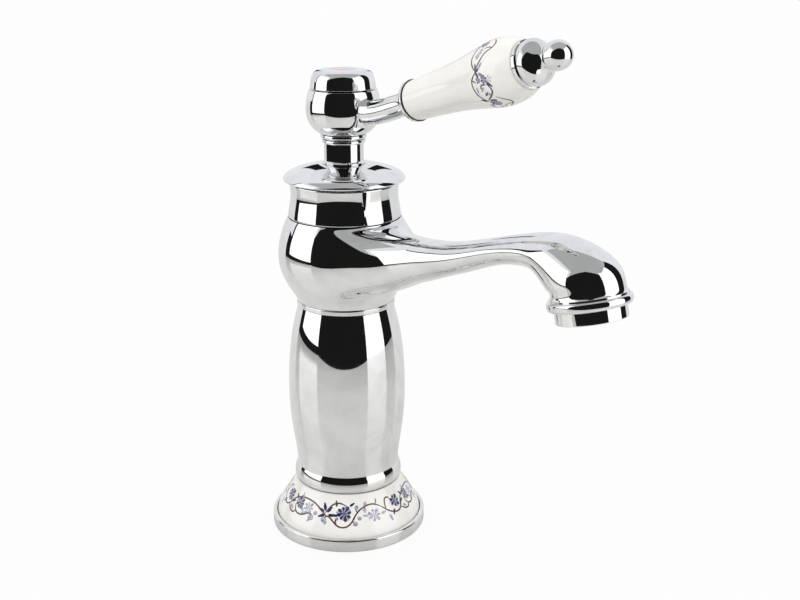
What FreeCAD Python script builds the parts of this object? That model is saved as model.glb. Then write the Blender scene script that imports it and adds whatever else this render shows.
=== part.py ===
import FreeCAD, Part
import math
import os

import Sketcher
from FreeCAD import Placement, Rotation, Vector

# Single-lever basin mixer: a chromed barrel column on a porcelain skirt, a bulb
# with a swan spout, and a lever with a porcelain grip. Millimetres, +Z up, the
# origin at the centre of the underside, the spout along +X.

doc = FreeCAD.newDocument("BasinMixer")
sheet = doc.addObject("Spreadsheet::Sheet", "Dims")
nodes = []


class Size:
    """A length with its number and the sheet formula that gives it."""

    def __init__(self, number, formula):
        self.number = number
        self.formula = formula

    def __add__(self, other):
        other = as_size(other)
        return Size(self.number + other.number, f"({self.formula} + {other.formula})")

    def __sub__(self, other):
        other = as_size(other)
        return Size(self.number - other.number, f"({self.formula} - {other.formula})")

    def __mul__(self, other):
        other = as_size(other)
        return Size(self.number * other.number, f"({self.formula} * {other.formula})")

    def __truediv__(self, other):
        other = as_size(other)
        return Size(self.number / other.number, f"({self.formula} / {other.formula})")

    def __neg__(self):
        return as_size(0.0) - self

    def __radd__(self, other):
        return as_size(other) + self

    def __rsub__(self, other):
        return as_size(other) - self

    def __rmul__(self, other):
        return as_size(other) * self


def as_size(value):
    """Let plain numbers stand beside named sizes in a formula."""
    if isinstance(value, Size):
        return value
    return Size(float(value), f"({value!r})")


def size(name, number):
    """Write one driving dimension into the sheet and hand it back for formulas."""
    row = len(sheet.getUsedCells()) // 2 + 1
    sheet.set(f"A{row}", name)
    sheet.set(f"B{row}", str(number))
    sheet.setAlias(f"B{row}", name)
    sheet.recompute()
    return Size(float(sheet.get(name)), f"Dims.{name}")


def between(low, high, share):
    """A place between two levels, as a share of the way up."""
    return low + share * (high - low)


# Clearances
thread_clearance = size("thread_clearance", 0.05)
seat_clearance = size("seat_clearance", 0.15)
running_clearance = size("running_clearance", 0.06)
washer_thickness = size("washer_thickness", 0.4)

# Ceramic disc cartridge, which the body is sized around
cartridge_radius = size("cartridge_radius", 14.0)
cartridge_wall = size("cartridge_wall", 1.8)
cartridge_base_height = size("cartridge_base_height", 4.5)
housing_bore = cartridge_radius - cartridge_wall
fixed_disc_height = size("fixed_disc_height", 3.5)
moving_disc_height = size("moving_disc_height", 3.5)
moving_disc_room = size("moving_disc_room", 2.6)
moving_disc_radius = housing_bore - moving_disc_room
moving_disc_setback = size("moving_disc_setback", 1.5)
mixing_recess_length = size("mixing_recess_length", 4.2)
mixing_recess_edge = size("mixing_recess_edge", 2.8)
mixing_recess_width = 2 * (moving_disc_radius - mixing_recess_edge)
mixing_recess_depth = size("mixing_recess_depth", 1.8)
mixing_outlet_setback = size("mixing_outlet_setback", 5.2)
lapped_gap = size("lapped_gap", 0.02)
coupler_step = size("coupler_step", 1.6)
coupler_radius = moving_disc_radius - coupler_step
coupler_height = size("coupler_height", 4.3)
pivot_rise = size("pivot_rise", 22.0)
ball_drop = size("ball_drop", 8.0)
ball_radius = size("ball_radius", 2.2)
pin_radius = size("pin_radius", 1.75)
housing_top_rise = size("housing_top_rise", 32.5)
housing_flange_height = size("housing_flange_height", 6.5)
housing_lip = size("housing_lip", 1.5)
housing_lip_width = size("housing_lip_width", 2.0)
housing_mouth_radius = housing_bore - housing_lip_width
inlet_spacing = size("inlet_spacing", 12.0)
inlet_radius = size("inlet_radius", 2.2)
inlet_seal_height = size("inlet_seal_height", 1.6)
inlet_seal_width = size("inlet_seal_width", 1.5)
o_ring_section = size("o_ring_section", 1.8)

# Bulb, its spigot in the column and the pocket for the cartridge
pocket_room = size("pocket_room", 1.6)
pocket_radius = cartridge_radius + pocket_room
pocket_depth = size("pocket_depth", 37.3)
spigot_wall = size("spigot_wall", 1.8)
spigot_radius = pocket_radius + spigot_wall
spigot_length = size("spigot_length", 14.0)
body_neck_wall = size("body_neck_wall", 3.0)
body_neck_radius = pocket_radius + body_neck_wall
body_neck_height = size("body_neck_height", 5.0)
bulb_wall = size("bulb_wall", 12.0)
bulb_radius = pocket_radius + bulb_wall
bulb_height = size("bulb_height", 33.9)
hose_thread_radius = size("hose_thread_radius", 4.5)
hose_thread_depth = size("hose_thread_depth", 8.5)
nut_wall = size("nut_wall", 4.6)
nut_bore_radius = pocket_radius - nut_wall
nut_height = size("nut_height", 6.0)
nut_slot_width = size("nut_slot_width", 4.0)
nut_slot_depth = size("nut_slot_depth", 2.5)

# Collar, and the top of the bulb that it stands on
collar_wall = size("collar_wall", 3.8)
collar_bottom_radius = body_neck_radius + collar_wall
collar_height = size("collar_height", 14.0)
collar_taper = size("collar_taper", 1.1)
collar_top_radius = collar_bottom_radius - collar_taper
collar_quirk = size("collar_quirk", 0.45)
bulb_brim = size("bulb_brim", 0.1)
bulb_top_radius = collar_bottom_radius + bulb_brim

# Barrel column
column_neck_wall = size("column_neck_wall", 2.45)
column_neck_radius = spigot_radius + column_neck_wall
column_shoulder = size("column_shoulder", 3.1)
column_shoulder_radius = column_neck_radius + column_shoulder
column_height = size("column_height", 74.5)
column_wall = size("column_wall", 3.2)
neck_ring_height = size("neck_ring_height", 2.1)
neck_ring_step = size("neck_ring_step", 0.55)
neck_ring_radius = column_neck_radius + neck_ring_step
bulb_foot_step = size("bulb_foot_step", 0.2)
bulb_foot_radius = neck_ring_radius - bulb_foot_step
boss_room = size("boss_room", 0.8)
boss_radius = spigot_radius - boss_room
tail_wall = size("tail_wall", 2.6)
tail_radius = boss_radius + tail_wall
tail_length = size("tail_length", 14.0)

# Porcelain skirt round the column's tail, and the flange that holds it down
skirt_neck_wall = size("skirt_neck_wall", 2.7)
skirt_top_radius = tail_radius + skirt_neck_wall
skirt_flare = size("skirt_flare", 8.3)
skirt_bottom_radius = skirt_top_radius + skirt_flare
skirt_height = size("skirt_height", 17.5)
skirt_wall = size("skirt_wall", 4.0)
flange_overhang = size("flange_overhang", 0.45)
flange_radius = skirt_top_radius + flange_overhang
flange_height = size("flange_height", 6.6)
flange_step = size("flange_step", 1.15)
column_foot_radius = flange_radius - flange_step
column_swell = size("column_swell", 3.4)
column_belly_radius = column_foot_radius + column_swell

# Foot ring with its threaded boss
foot_lip = size("foot_lip", 1.8)
foot_radius = skirt_bottom_radius + foot_lip
foot_height = size("foot_height", 5.3)
foot_edge = size("foot_edge", 0.9)
seat_recess = size("seat_recess", 1.8)
boss_height = size("boss_height", 16.0)
stud_inset = size("stud_inset", 5.6)
stud_reach = boss_radius - stud_inset
stud_hole_radius = size("stud_hole_radius", 3.4)
stud_hole_depth = size("stud_hole_depth", 12.0)
hose_spacing = size("hose_spacing", 15.0)
hose_passage_radius = size("hose_passage_radius", 6.3)
base_seal_inset = size("base_seal_inset", 7.0)
base_seal_radius = foot_radius - base_seal_inset
base_seal_width = size("base_seal_width", 4.0)
base_seal_depth = size("base_seal_depth", 2.0)

# Spout and outlet
spout_reach = size("spout_reach", 124.5)
spout_root_inset = size("spout_root_inset", 10.17)
spout_root_reach = bulb_radius - spout_root_inset
spout_head_length = size("spout_head_length", 36.73)
outlet_rise = size("outlet_rise", 27.2)
outlet_tilt = size("outlet_tilt", 13.5)
outlet_radius = size("outlet_radius", 12.9)
crest_height = size("crest_height", 12.1)
crest_rise = outlet_rise + crest_height
spout_root_rise = size("spout_root_rise", 19.8)
spout_wall = size("spout_wall", 1.8)
bead_overhang = size("bead_overhang", 1.35)
bead_radius = outlet_radius + bead_overhang
bead_height = size("bead_height", 3.6)
bead_lip = size("bead_lip", 0.35)
aerator_step = size("aerator_step", 0.85)
aerator_radius = outlet_radius - aerator_step
aerator_drop = size("aerator_drop", 4.4)
aerator_shoulder = size("aerator_shoulder", 1.05)
aerator_thread_radius = aerator_radius - aerator_shoulder
aerator_thread_length = size("aerator_thread_length", 5.6)
aerator_wall = size("aerator_wall", 1.1)
aerator_seal_height = size("aerator_seal_height", 1.5)
aerator_hole_radius = size("aerator_hole_radius", 0.85)

# Spindle, hat and hub
spindle_width = size("spindle_width", 7.0)
spindle_rise = size("spindle_rise", 33.5)
spindle_shank_drop = size("spindle_shank_drop", 4.0)
swing_room = size("swing_room", 7.0)
hat_gap = size("hat_gap", 0.6)
hat_overhang = size("hat_overhang", 2.7)
hat_radius = collar_top_radius + hat_overhang
hat_height = size("hat_height", 7.6)
hat_wall = size("hat_wall", 1.1)
stem_wall = size("stem_wall", 3.5)
stem_radius = spindle_width / 2 + stem_wall
stem_length = size("stem_length", 16.0)
neck_step = size("neck_step", 0.8)
neck_radius = stem_radius + neck_step
neck_height = size("neck_height", 6.2)
neck_bead_height = size("neck_bead_height", 1.6)
neck_bead_step = size("neck_bead_step", 0.7)
neck_bead_radius = neck_radius + neck_bead_step
hub_swell = size("hub_swell", 7.3)
hub_radius = neck_radius + hub_swell
hub_height = size("hub_height", 19.6)
hub_taper = size("hub_taper", 1.9)
hub_top_radius = hub_radius - hub_taper
screw_radius = size("screw_radius", 2.5)
screw_length = size("screw_length", 12.0)
screw_head_radius = size("screw_head_radius", 4.25)
screw_head_height = size("screw_head_height", 4.0)
socket_web = size("socket_web", 3.5)
cap_height = size("cap_height", 8.8)
cap_brim = size("cap_brim", 2.8)
cap_spigot_radius = hub_top_radius - cap_brim
cap_spigot_length = size("cap_spigot_length", 3.2)
index_radius = size("index_radius", 5.0)
index_thickness = size("index_thickness", 1.1)

# Lever arm and grip
lever_tilt = size("lever_tilt", 17.7)
arm_rise = size("arm_rise", 12.4)
arm_seat_depth = size("arm_seat_depth", 2.9)
arm_seat = hub_radius - arm_seat_depth
arm_radius = size("arm_radius", 4.4)
arm_taper = size("arm_taper", 0.45)
arm_waist_radius = arm_radius - arm_taper
arm_spigot_step = size("arm_spigot_step", 1.4)
arm_spigot_radius = arm_radius - arm_spigot_step
arm_spigot_length = size("arm_spigot_length", 6.0)
ferrule_overhang = size("ferrule_overhang", 26.4)
ferrule_reach = hub_radius + ferrule_overhang
ferrule_rise = size("ferrule_rise", 7.1)
ferrule_flare = size("ferrule_flare", 3.85)
ferrule_radius = arm_waist_radius + ferrule_flare
ferrule_rim = size("ferrule_rim", 1.5)
ferrule_length = size("ferrule_length", 8.7)
grip_washer_thickness = size("grip_washer_thickness", 0.5)
grip_length = size("grip_length", 54.0)
grip_root_step = size("grip_root_step", 0.45)
grip_root_radius = ferrule_radius - grip_root_step
grip_swell = size("grip_swell", 4.65)
grip_radius = grip_root_radius + grip_swell
grip_end_step = size("grip_end_step", 3.0)
grip_end_radius = grip_radius - grip_end_step
rod_step = size("rod_step", 1.45)
rod_radius = arm_waist_radius - rod_step
rod_inset = size("rod_inset", 6.0)
bell_step = size("bell_step", 0.1)
bell_radius = grip_end_radius - bell_step
bell_length = size("bell_length", 10.5)
bell_neck_wall = size("bell_neck_wall", 0.8)
bell_neck_radius = rod_radius + bell_neck_wall
finial_swell = size("finial_swell", 1.6)
finial_radius = bell_neck_radius + finial_swell

# Levels, from the basin upwards
recess_floor = foot_height - seat_recess
skirt_bottom = recess_floor + washer_thickness
skirt_top = skirt_bottom + skirt_height
flange_bottom = skirt_top + washer_thickness
column_top = flange_bottom + column_height
bulb_bottom = column_top + neck_ring_height
bulb_top = bulb_bottom + bulb_height
spigot_bottom = bulb_bottom - spigot_length
pocket_floor = bulb_top - pocket_depth
collar_top = bulb_top + collar_height
hat_rim = collar_top + hat_gap
hat_top = hat_rim + hat_height
hub_bottom = hat_top + neck_height + neck_bead_height
hub_top = hub_bottom + hub_height
cap_top = hub_top + cap_height

base_top = pocket_floor + cartridge_base_height
fixed_disc_top = base_top + fixed_disc_height
moving_disc_bottom = fixed_disc_top + lapped_gap
coupler_bottom = moving_disc_bottom + moving_disc_height
coupler_top = coupler_bottom + coupler_height
pivot_level = pocket_floor + pivot_rise
ball_level = pivot_level - ball_drop
housing_top = pocket_floor + housing_top_rise
spindle_top = pivot_level + spindle_rise
arm_level = hub_bottom + arm_rise
neck_top = bulb_top + body_neck_height
stem_bottom = hat_top - stem_length
web_top = spindle_top + lapped_gap + socket_web
cap_bore_floor = hub_top - cap_spigot_length - seat_clearance
outlet_level = bulb_bottom + outlet_rise
aerator_bottom = -(bead_height / 2 + aerator_drop)
aerator_thread_top = aerator_thread_length - bead_height / 2
outlet_roof = aerator_thread_top + aerator_seal_height

ORIGIN = (as_size(0.0), as_size(0.0))

# How far the control points of a quarter circle stand from its ends, as a share of its radius
ROUND = 4.0 / 3.0 * (math.sqrt(2.0) - 1.0)


def new_body(label):
    """Start one sub-part, whose label names its file."""
    body = doc.addObject("PartDesign::Body", "Body_" + label)
    body.Label = label
    nodes.append(body)
    return body


def bind(item, name, formula):
    """Bind one property to a sheet formula."""
    item.setExpression(name, as_size(formula).formula)


def new_sketch(body, role, shift=ORIGIN, lift=0.0, turn=None, turn_axis=Vector(0, 0, 1)):
    """Attach a sketch to one of the body's own planes, moved and turned by formulas."""
    plane = next(item for item in body.Origin.OriginFeatures if item.Role == role)
    sketch = body.newObject("Sketcher::SketchObject", "Sketch")
    sketch.AttachmentSupport = [(plane, "")]
    sketch.MapMode = "FlatFace"
    angle = as_size(0.0 if turn is None else turn)
    place = [as_size(shift[0]), as_size(shift[1]), as_size(lift)]
    base = Vector(*(part.number for part in place))
    sketch.AttachmentOffset = Placement(base, Rotation(turn_axis, angle.number or 1.0))
    for axis, part in zip("xyz", place):
        bind(sketch, f"AttachmentOffset.Base.{axis}", part)
    bind(sketch, "AttachmentOffset.Rotation.Angle", angle)
    return sketch


def pin_point(sketch, geometry, point, place):
    """Hold one sketch point at a place given by two formulas."""
    for kind, formula in zip(("DistanceX", "DistanceY"), place):
        formula = as_size(formula)
        index = sketch.addConstraint(Sketcher.Constraint(kind, -1, 1, geometry, point, formula.number))
        sketch.setExpression(f"Constraints[{index}]", formula.formula)


def to_vector(place):
    return Vector(as_size(place[0]).number, as_size(place[1]).number, 0)


def add_curve(sketch, poles, pinned):
    """Add a smooth curve held by those of its control points that are pinned."""
    spline = Part.BSplineCurve()
    spline.buildFromPoles([to_vector(pole) for pole in poles], False, min(3, len(poles) - 1))
    curve = sketch.addGeometry(spline)
    for number, pole in enumerate(poles):
        circle = sketch.addGeometry(Part.Circle(to_vector(pole), Vector(0, 0, 1), 1.0), True)
        kind = "InternalAlignment:Sketcher::BSplineControlPoint"
        sketch.addConstraint(Sketcher.Constraint(kind, circle, 3, curve, number))
        sketch.addConstraint(Sketcher.Constraint("Weight", circle, 1.0))
        if pole in pinned:
            pin_point(sketch, circle, 3, pole)
    return curve


def outline(sketch, *path):
    """Draw a closed loop: a pair is a corner, a list holds the control points of a curve."""
    start = path[0]
    pen = start
    pieces = []
    for step in path[1:] + (start,):
        if step is pen:
            continue
        poles = [pen] + step if isinstance(step, list) else [pen, step]
        pinned = poles if not pieces else poles[1:]
        if poles[-1] is start:
            pinned = [pole for pole in pinned if pole is not start]
        if isinstance(step, list):
            pieces.append(add_curve(sketch, poles, pinned))
        else:
            pieces.append(sketch.addGeometry(Part.LineSegment(to_vector(pen), to_vector(step))))
            for point, corner in enumerate(poles, start=1):
                if corner in pinned:
                    pin_point(sketch, pieces[-1], point, corner)
        pen = poles[-1]
    for piece, follower in zip(pieces, pieces[1:] + pieces[:1]):
        sketch.addConstraint(Sketcher.Constraint("Coincident", piece, 2, follower, 1))


def add_circle(sketch, centre, radius):
    """Draw a circle with its centre and radius bound to formulas."""
    radius = as_size(radius)
    circle = sketch.addGeometry(Part.Circle(to_vector(centre), Vector(0, 0, 1), radius.number))
    pin_point(sketch, circle, 3, centre)
    index = sketch.addConstraint(Sketcher.Constraint("Radius", circle, radius.number))
    sketch.setExpression(f"Constraints[{index}]", radius.formula)


def add_rectangle(sketch, low, high):
    """Draw a rectangle between two opposite corners."""
    outline(sketch, low, (high[0], low[1]), high, (low[0], high[1]))


def revolve(body, sketch, cut=False):
    """Turn a profile about the sketch's upright axis."""
    kind = "PartDesign::Groove" if cut else "PartDesign::Revolution"
    feature = body.newObject(kind, "Turned")
    feature.Profile = sketch
    feature.ReferenceAxis = (sketch, ["V_Axis"])
    feature.Angle = 360
    return feature


def turned(label, *path):
    """A piece that is one turned profile about the Z axis."""
    body = new_body(label)
    sketch = new_sketch(body, "XZ_Plane")
    outline(sketch, *path)
    revolve(body, sketch)
    return body


def extrude(body, sketch, length, cut=False, both_ways=False, reverse=False):
    """Pad or pocket a sketch by a length."""
    kind = "PartDesign::Pocket" if cut else "PartDesign::Pad"
    feature = body.newObject(kind, "Extruded")
    feature.Profile = sketch
    feature.SideType = "Symmetric" if both_ways else "One side"
    feature.Reversed = reverse
    bind(feature, "Length", length)
    return feature


def drill(body, level, depth, radius, *centres):
    """Drill round holes upwards from a level, parallel to Z."""
    sketch = new_sketch(body, "XY_Plane", lift=level)
    for centre in centres:
        add_circle(sketch, centre, radius)
    return extrude(body, sketch, depth, cut=True, reverse=True)


def place_on(body, x, z, turn):
    """Set a body on the lever or outlet axis: a place in the XZ plane and a turn about Y."""
    place = (as_size(x), as_size(0.0), as_size(z))
    turn = as_size(turn)
    base = Vector(*(part.number for part in place))
    body.Placement = Placement(base, Rotation(Vector(0, 1, 0), turn.number))
    for axis, part in zip("xyz", place):
        bind(body, f"Placement.Base.{axis}", part)
    bind(body, "Placement.Rotation.Angle", turn)


def ring(label, inner, outer, bottom, top):
    """A plain washer or seal of rectangular section."""
    return turned(label, (inner, bottom), (outer, bottom), (outer, top), (inner, top))


def hose_places():
    return (0.0, -hose_spacing / 2), (0.0, hose_spacing / 2)


def inlet_places():
    return (0.0, -inlet_spacing / 2), (0.0, inlet_spacing / 2)


def foot_ring():
    body = new_body("foot_ring")
    recess_radius = skirt_bottom_radius + seat_clearance
    seal_inner = base_seal_radius - base_seal_width / 2
    seal_outer = base_seal_radius + base_seal_width / 2
    sketch = new_sketch(body, "XZ_Plane")
    outline(sketch, (0.0, 0.0), (seal_inner, 0.0), (seal_inner, base_seal_depth),
            (seal_outer, base_seal_depth), (seal_outer, 0.0), (foot_radius - foot_edge, 0.0),
            [(foot_radius, 0.0), (foot_radius, foot_edge)],
            (foot_radius, foot_height - foot_edge),
            [(foot_radius, foot_height), (foot_radius - foot_edge, foot_height)],
            (recess_radius + seat_clearance, foot_height), (recess_radius, recess_floor + seat_recess / 2),
            (recess_radius, recess_floor), (boss_radius, recess_floor), (boss_radius, boss_height),
            (0.0, boss_height))
    revolve(body, sketch)
    drill(body, 0.0, boss_height, hose_passage_radius, *hose_places())
    drill(body, 0.0, stud_hole_depth, stud_hole_radius, (-stud_reach, 0.0), (stud_reach, 0.0))


def base_seal():
    ring("base_seal", base_seal_radius - base_seal_width / 2 + seat_clearance,
         base_seal_radius + base_seal_width / 2 - seat_clearance, 0.0, base_seal_depth)


def porcelain_skirt():
    skirt_bore = tail_radius + seat_clearance
    edge = washer_thickness
    inner, outer = skirt_bottom_radius - skirt_wall, skirt_bottom_radius - edge
    ring("lower_washer", inner, outer, recess_floor, skirt_bottom)
    turned("porcelain_skirt",
           (inner, skirt_bottom), (outer, skirt_bottom),
           [(skirt_bottom_radius, skirt_bottom), (skirt_bottom_radius, skirt_bottom + edge)],
           [(skirt_bottom_radius, between(skirt_bottom, skirt_top, 0.16)),
            (between(skirt_bottom_radius, skirt_top_radius, 0.42), between(skirt_bottom, skirt_top, 0.5)),
            (between(skirt_bottom_radius, skirt_top_radius, 0.84), between(skirt_bottom, skirt_top, 0.8)),
            (skirt_top_radius, skirt_top - edge)],
           [(skirt_top_radius, skirt_top), (skirt_top_radius - edge, skirt_top)],
           (skirt_bore, skirt_top), (skirt_bore, between(skirt_bottom, skirt_top, 0.7)))
    ring("upper_washer", skirt_bore, skirt_top_radius - edge, skirt_top, flange_bottom)


def column():
    flange_top = flange_bottom + flange_height
    spigot_bore = spigot_radius + thread_clearance
    tail_bore = boss_radius + thread_clearance
    spigot_seat = column_top - (spigot_length - neck_ring_height)
    turned("column",
           (tail_bore, flange_bottom - tail_length), (tail_radius, flange_bottom - tail_length),
           (tail_radius, flange_bottom), (flange_radius - 0.25 * flange_height, flange_bottom),
           [(flange_radius, flange_bottom), (flange_radius, between(flange_bottom, flange_top, 0.35))],
           [(flange_radius, between(flange_bottom, flange_top, 0.7)), (column_foot_radius, flange_top)],
           [(column_foot_radius, between(flange_top, column_top, 0.07)),
            (between(column_foot_radius, column_belly_radius, 0.83), between(flange_top, column_top, 0.25)),
            (column_belly_radius, between(flange_top, column_top, 0.55)),
            (column_shoulder_radius, between(flange_top, column_top, 0.82)),
            (between(column_shoulder_radius, column_neck_radius, 0.67),
             between(flange_top, column_top, 0.94)),
            (column_neck_radius, column_top)],
           (spigot_bore, column_top), (spigot_bore, spigot_seat),
           [(column_belly_radius - column_wall, between(flange_top, spigot_seat, 0.7)),
            (column_belly_radius - column_wall, between(flange_top, spigot_seat, 0.3)),
            (tail_bore, flange_bottom)])
    bead = neck_ring_height / 4
    turned("neck_ring",
           (spigot_bore, column_top), (column_neck_radius, column_top),
           [(neck_ring_radius, column_top), (neck_ring_radius, column_top + bead)],
           (neck_ring_radius, bulb_bottom - bead),
           [(neck_ring_radius, bulb_bottom), (bulb_foot_radius - bead, bulb_bottom)],
           (spigot_bore, bulb_bottom))


# Each station of the spout: its name, its share of the way from root to head, with 1 to 2 along
# the head itself, its share of the rise from root to crest, the tilt of its plane, and its half
# height and half width.
SPOUT_STATIONS = [
    ("root", 0.0, 0.0, 2.0, 13.9, 19.0),
    ("flare", 0.1, 0.056, 5.0, 12.45, 13.6),
    ("throat", 0.2389, 0.125, 8.0, 10.4, 10.9),
    ("shank", 0.4513, 0.275, 14.0, 7.4, 8.7),
    ("waist", 0.7168, 0.54, 17.0, 5.4, 7.5),
    ("rise", 1.0, 0.88, 15.5, 4.8, 7.3),
    ("crest", 1.356, 1.01, 1.5, 6.1, 8.3),
    ("brow", 1.6339, 0.965, -24.0, 8.8, 10.6),
    ("cheek", 1.8644, 0.79, -50.0, 11.6, 12.4),
]


def sine(angle):
    return Size(math.sin(math.radians(angle.number)), f"sin({angle.formula} * 1 deg)")


def cosine(angle):
    return Size(math.cos(math.radians(angle.number)), f"cos({angle.formula} * 1 deg)")


def along_outlet(distance):
    """A place on the outlet's axis, as X and Z, at a distance above the bead's middle."""
    distance = as_size(distance)
    return spout_reach - distance * sine(outlet_tilt), outlet_level + distance * cosine(outlet_tilt)


def along_spout(share):
    """How far out a station stands: the shank stretches with the reach and the head keeps its length."""
    head = spout_reach - spout_head_length
    if share > 1.0:
        return head + (share - 1.0) * spout_head_length
    return between(spout_root_reach, head, share)


def add_ellipse(sketch, half_width, half_height):
    """Draw an ellipse about the sketch's origin from four quarter curves."""
    zero = as_size(0.0)
    corners = [(half_width, zero), (zero, half_height), (-half_width, zero), (zero, -half_height)]
    loop = [corners[0]]
    for near, far in zip(corners, corners[1:] + corners[:1]):
        loop.append([(near[0] + ROUND * far[0], near[1] + ROUND * far[1]),
                     (far[0] + ROUND * near[0], far[1] + ROUND * near[1]), far])
    outline(sketch, *loop)


def leaning_sketch(body, x, z, tilt):
    """A sketch across the spout or the arm, in a plane that leans back from upright."""
    turn = -as_size(tilt)
    return new_sketch(body, "YZ_Plane", shift=(0.0, z), lift=x, turn=turn, turn_axis=Vector(1, 0, 0))


def oval_section(body, x, z, tilt, half_width, half_height):
    sketch = leaning_sketch(body, x, z, tilt)
    add_ellipse(sketch, as_size(half_width), as_size(half_height))
    return sketch


def round_section(body, x, z, tilt, radius):
    sketch = leaning_sketch(body, x, z, tilt)
    add_circle(sketch, (0.0, 0.0), radius)
    return sketch


def loft(body, sections, cut=False):
    """Join sections into one smooth form, or cut that form away."""
    kind = "PartDesign::SubtractiveLoft" if cut else "PartDesign::AdditiveLoft"
    feature = body.newObject(kind, "Lofted")
    feature.Profile = sections[0]
    feature.Sections = sections[1:]
    return feature


def spout_body():
    body = new_body("spout_body")
    bulb = new_sketch(body, "XZ_Plane")
    outline(bulb, (0.0, spigot_bottom), (spigot_radius, spigot_bottom), (spigot_radius, bulb_bottom),
            (bulb_foot_radius, bulb_bottom),
            [(between(bulb_foot_radius, bulb_radius, 0.235), between(bulb_bottom, bulb_top, 0.145)),
             (between(bulb_foot_radius, bulb_radius, 0.556), between(bulb_bottom, bulb_top, 0.145)),
             (between(bulb_foot_radius, bulb_radius, 0.835), between(bulb_bottom, bulb_top, 0.372)),
             (bulb_radius, between(bulb_bottom, bulb_top, 0.637)),
             (between(bulb_radius, bulb_top_radius, 0.473), between(bulb_bottom, bulb_top, 0.841)),
             (bulb_top_radius, bulb_top)],
            (body_neck_radius, bulb_top), (body_neck_radius, neck_top), (0.0, neck_top))
    revolve(body, bulb)

    root_level = bulb_bottom + spout_root_rise
    crest_level = bulb_bottom + crest_rise
    shell = []
    mouth = outlet_radius / 2
    core = [oval_section(body, mouth, root_level - mouth / 2, 0.0, mouth, mouth)]
    for name, reach, rise, tilt, tall, wide in SPOUT_STATIONS:
        half_height = size(f"spout_{name}_half_height", tall)
        half_width = size(f"spout_{name}_half_width", wide)
        place = (along_spout(reach), between(root_level, crest_level, rise))
        shell.append(oval_section(body, *place, tilt, half_width, half_height))
        if name not in ("root", "flare", "cheek"):
            core.append(oval_section(body, *place, tilt, half_width - spout_wall, half_height - spout_wall))
    down = outlet_tilt - 90.0
    shell.append(oval_section(body, *along_outlet(0.0), down, outlet_radius, outlet_radius))
    throat = aerator_thread_radius - 2 * aerator_wall
    core.append(oval_section(body, *along_outlet(0.0), down, throat, throat))
    loft(body, shell)

    half_bead = bead_height / 2
    thread = aerator_thread_radius + thread_clearance
    lip = outlet_radius + bead_lip
    bead = new_sketch(body, "XZ_Plane", shift=(spout_reach, outlet_level), turn=outlet_tilt)
    outline(bead, (0.0, -half_bead), (outlet_radius, -half_bead),
            [(bead_radius, -half_bead), (bead_radius, 0.0)],
            [(bead_radius, half_bead * 0.8), (lip, half_bead * 0.8)],
            (lip, half_bead + bead_lip), (0.0, half_bead + bead_lip))
    revolve(body, bead)

    pocket = new_sketch(body, "XZ_Plane")
    outline(pocket, (0.0, pocket_floor), (pocket_radius, pocket_floor), (pocket_radius, neck_top),
            (0.0, neck_top))
    revolve(body, pocket, cut=True)
    loft(body, core, cut=True)
    outlet = new_sketch(body, "XZ_Plane", shift=(spout_reach, outlet_level), turn=outlet_tilt)
    outline(outlet, (0.0, -half_bead), (thread, -half_bead), (thread, outlet_roof), (0.0, outlet_roof))
    revolve(body, outlet, cut=True)
    drill(body, spigot_bottom, hose_thread_depth, hose_thread_radius, *hose_places())
    drill(body, spigot_bottom, pocket_floor - spigot_bottom, inlet_radius, *inlet_places())


def aerator():
    """The aerator's pieces, turned about the outlet's axis."""
    half_bead = bead_height / 2
    bore = aerator_thread_radius - aerator_wall
    lip = bore - aerator_wall / 2
    edge = aerator_wall / 3
    pieces = [
        turned("aerator_housing",
               (lip, aerator_bottom), (aerator_radius - edge, aerator_bottom),
               [(aerator_radius, aerator_bottom), (aerator_radius, aerator_bottom + edge)],
               (aerator_radius, -half_bead), (aerator_thread_radius, -half_bead),
               (aerator_thread_radius, aerator_thread_top), (bore, aerator_thread_top),
               (bore, aerator_bottom + aerator_wall), (lip, aerator_bottom + aerator_wall)),
        ring("aerator_seal", bore - aerator_wall, aerator_thread_radius, aerator_thread_top, outlet_roof)]
    insert_radius = bore - thread_clearance
    floor = aerator_bottom + aerator_wall
    plate = 2 * aerator_wall
    cup_radius = insert_radius - aerator_wall
    insert = turned("aerator_insert",
                    (0.0, floor), (insert_radius, floor), (insert_radius, aerator_thread_top),
                    (cup_radius, aerator_thread_top), (cup_radius, floor + plate), (0.0, floor + plate))
    holes = [(0.0, 0.0)]
    for share, count in ((0.3, 6), (0.58, 12), (0.84, 18)):
        for step in range(count):
            angle = 2.0 * math.pi * step / count
            holes.append((share * math.cos(angle) * insert_radius, share * math.sin(angle) * insert_radius))
    drill(insert, floor, plate, aerator_hole_radius, *holes)
    for piece in pieces + [insert]:
        place_on(piece, spout_reach, outlet_level, -outlet_tilt)


def collar():
    inner = body_neck_radius + thread_clearance
    mouth = collar_top_radius - 3 * collar_quirk
    edge = 2 * collar_quirk
    turned("collar",
           (inner, bulb_top), (collar_bottom_radius - collar_quirk, bulb_top),
           (collar_bottom_radius, bulb_top + collar_quirk), (collar_top_radius, collar_top - edge),
           [(collar_top_radius, collar_top), (collar_top_radius - edge, collar_top)],
           (mouth, collar_top), (mouth, neck_top + collar_quirk), (inner, neck_top + collar_quirk))


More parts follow.
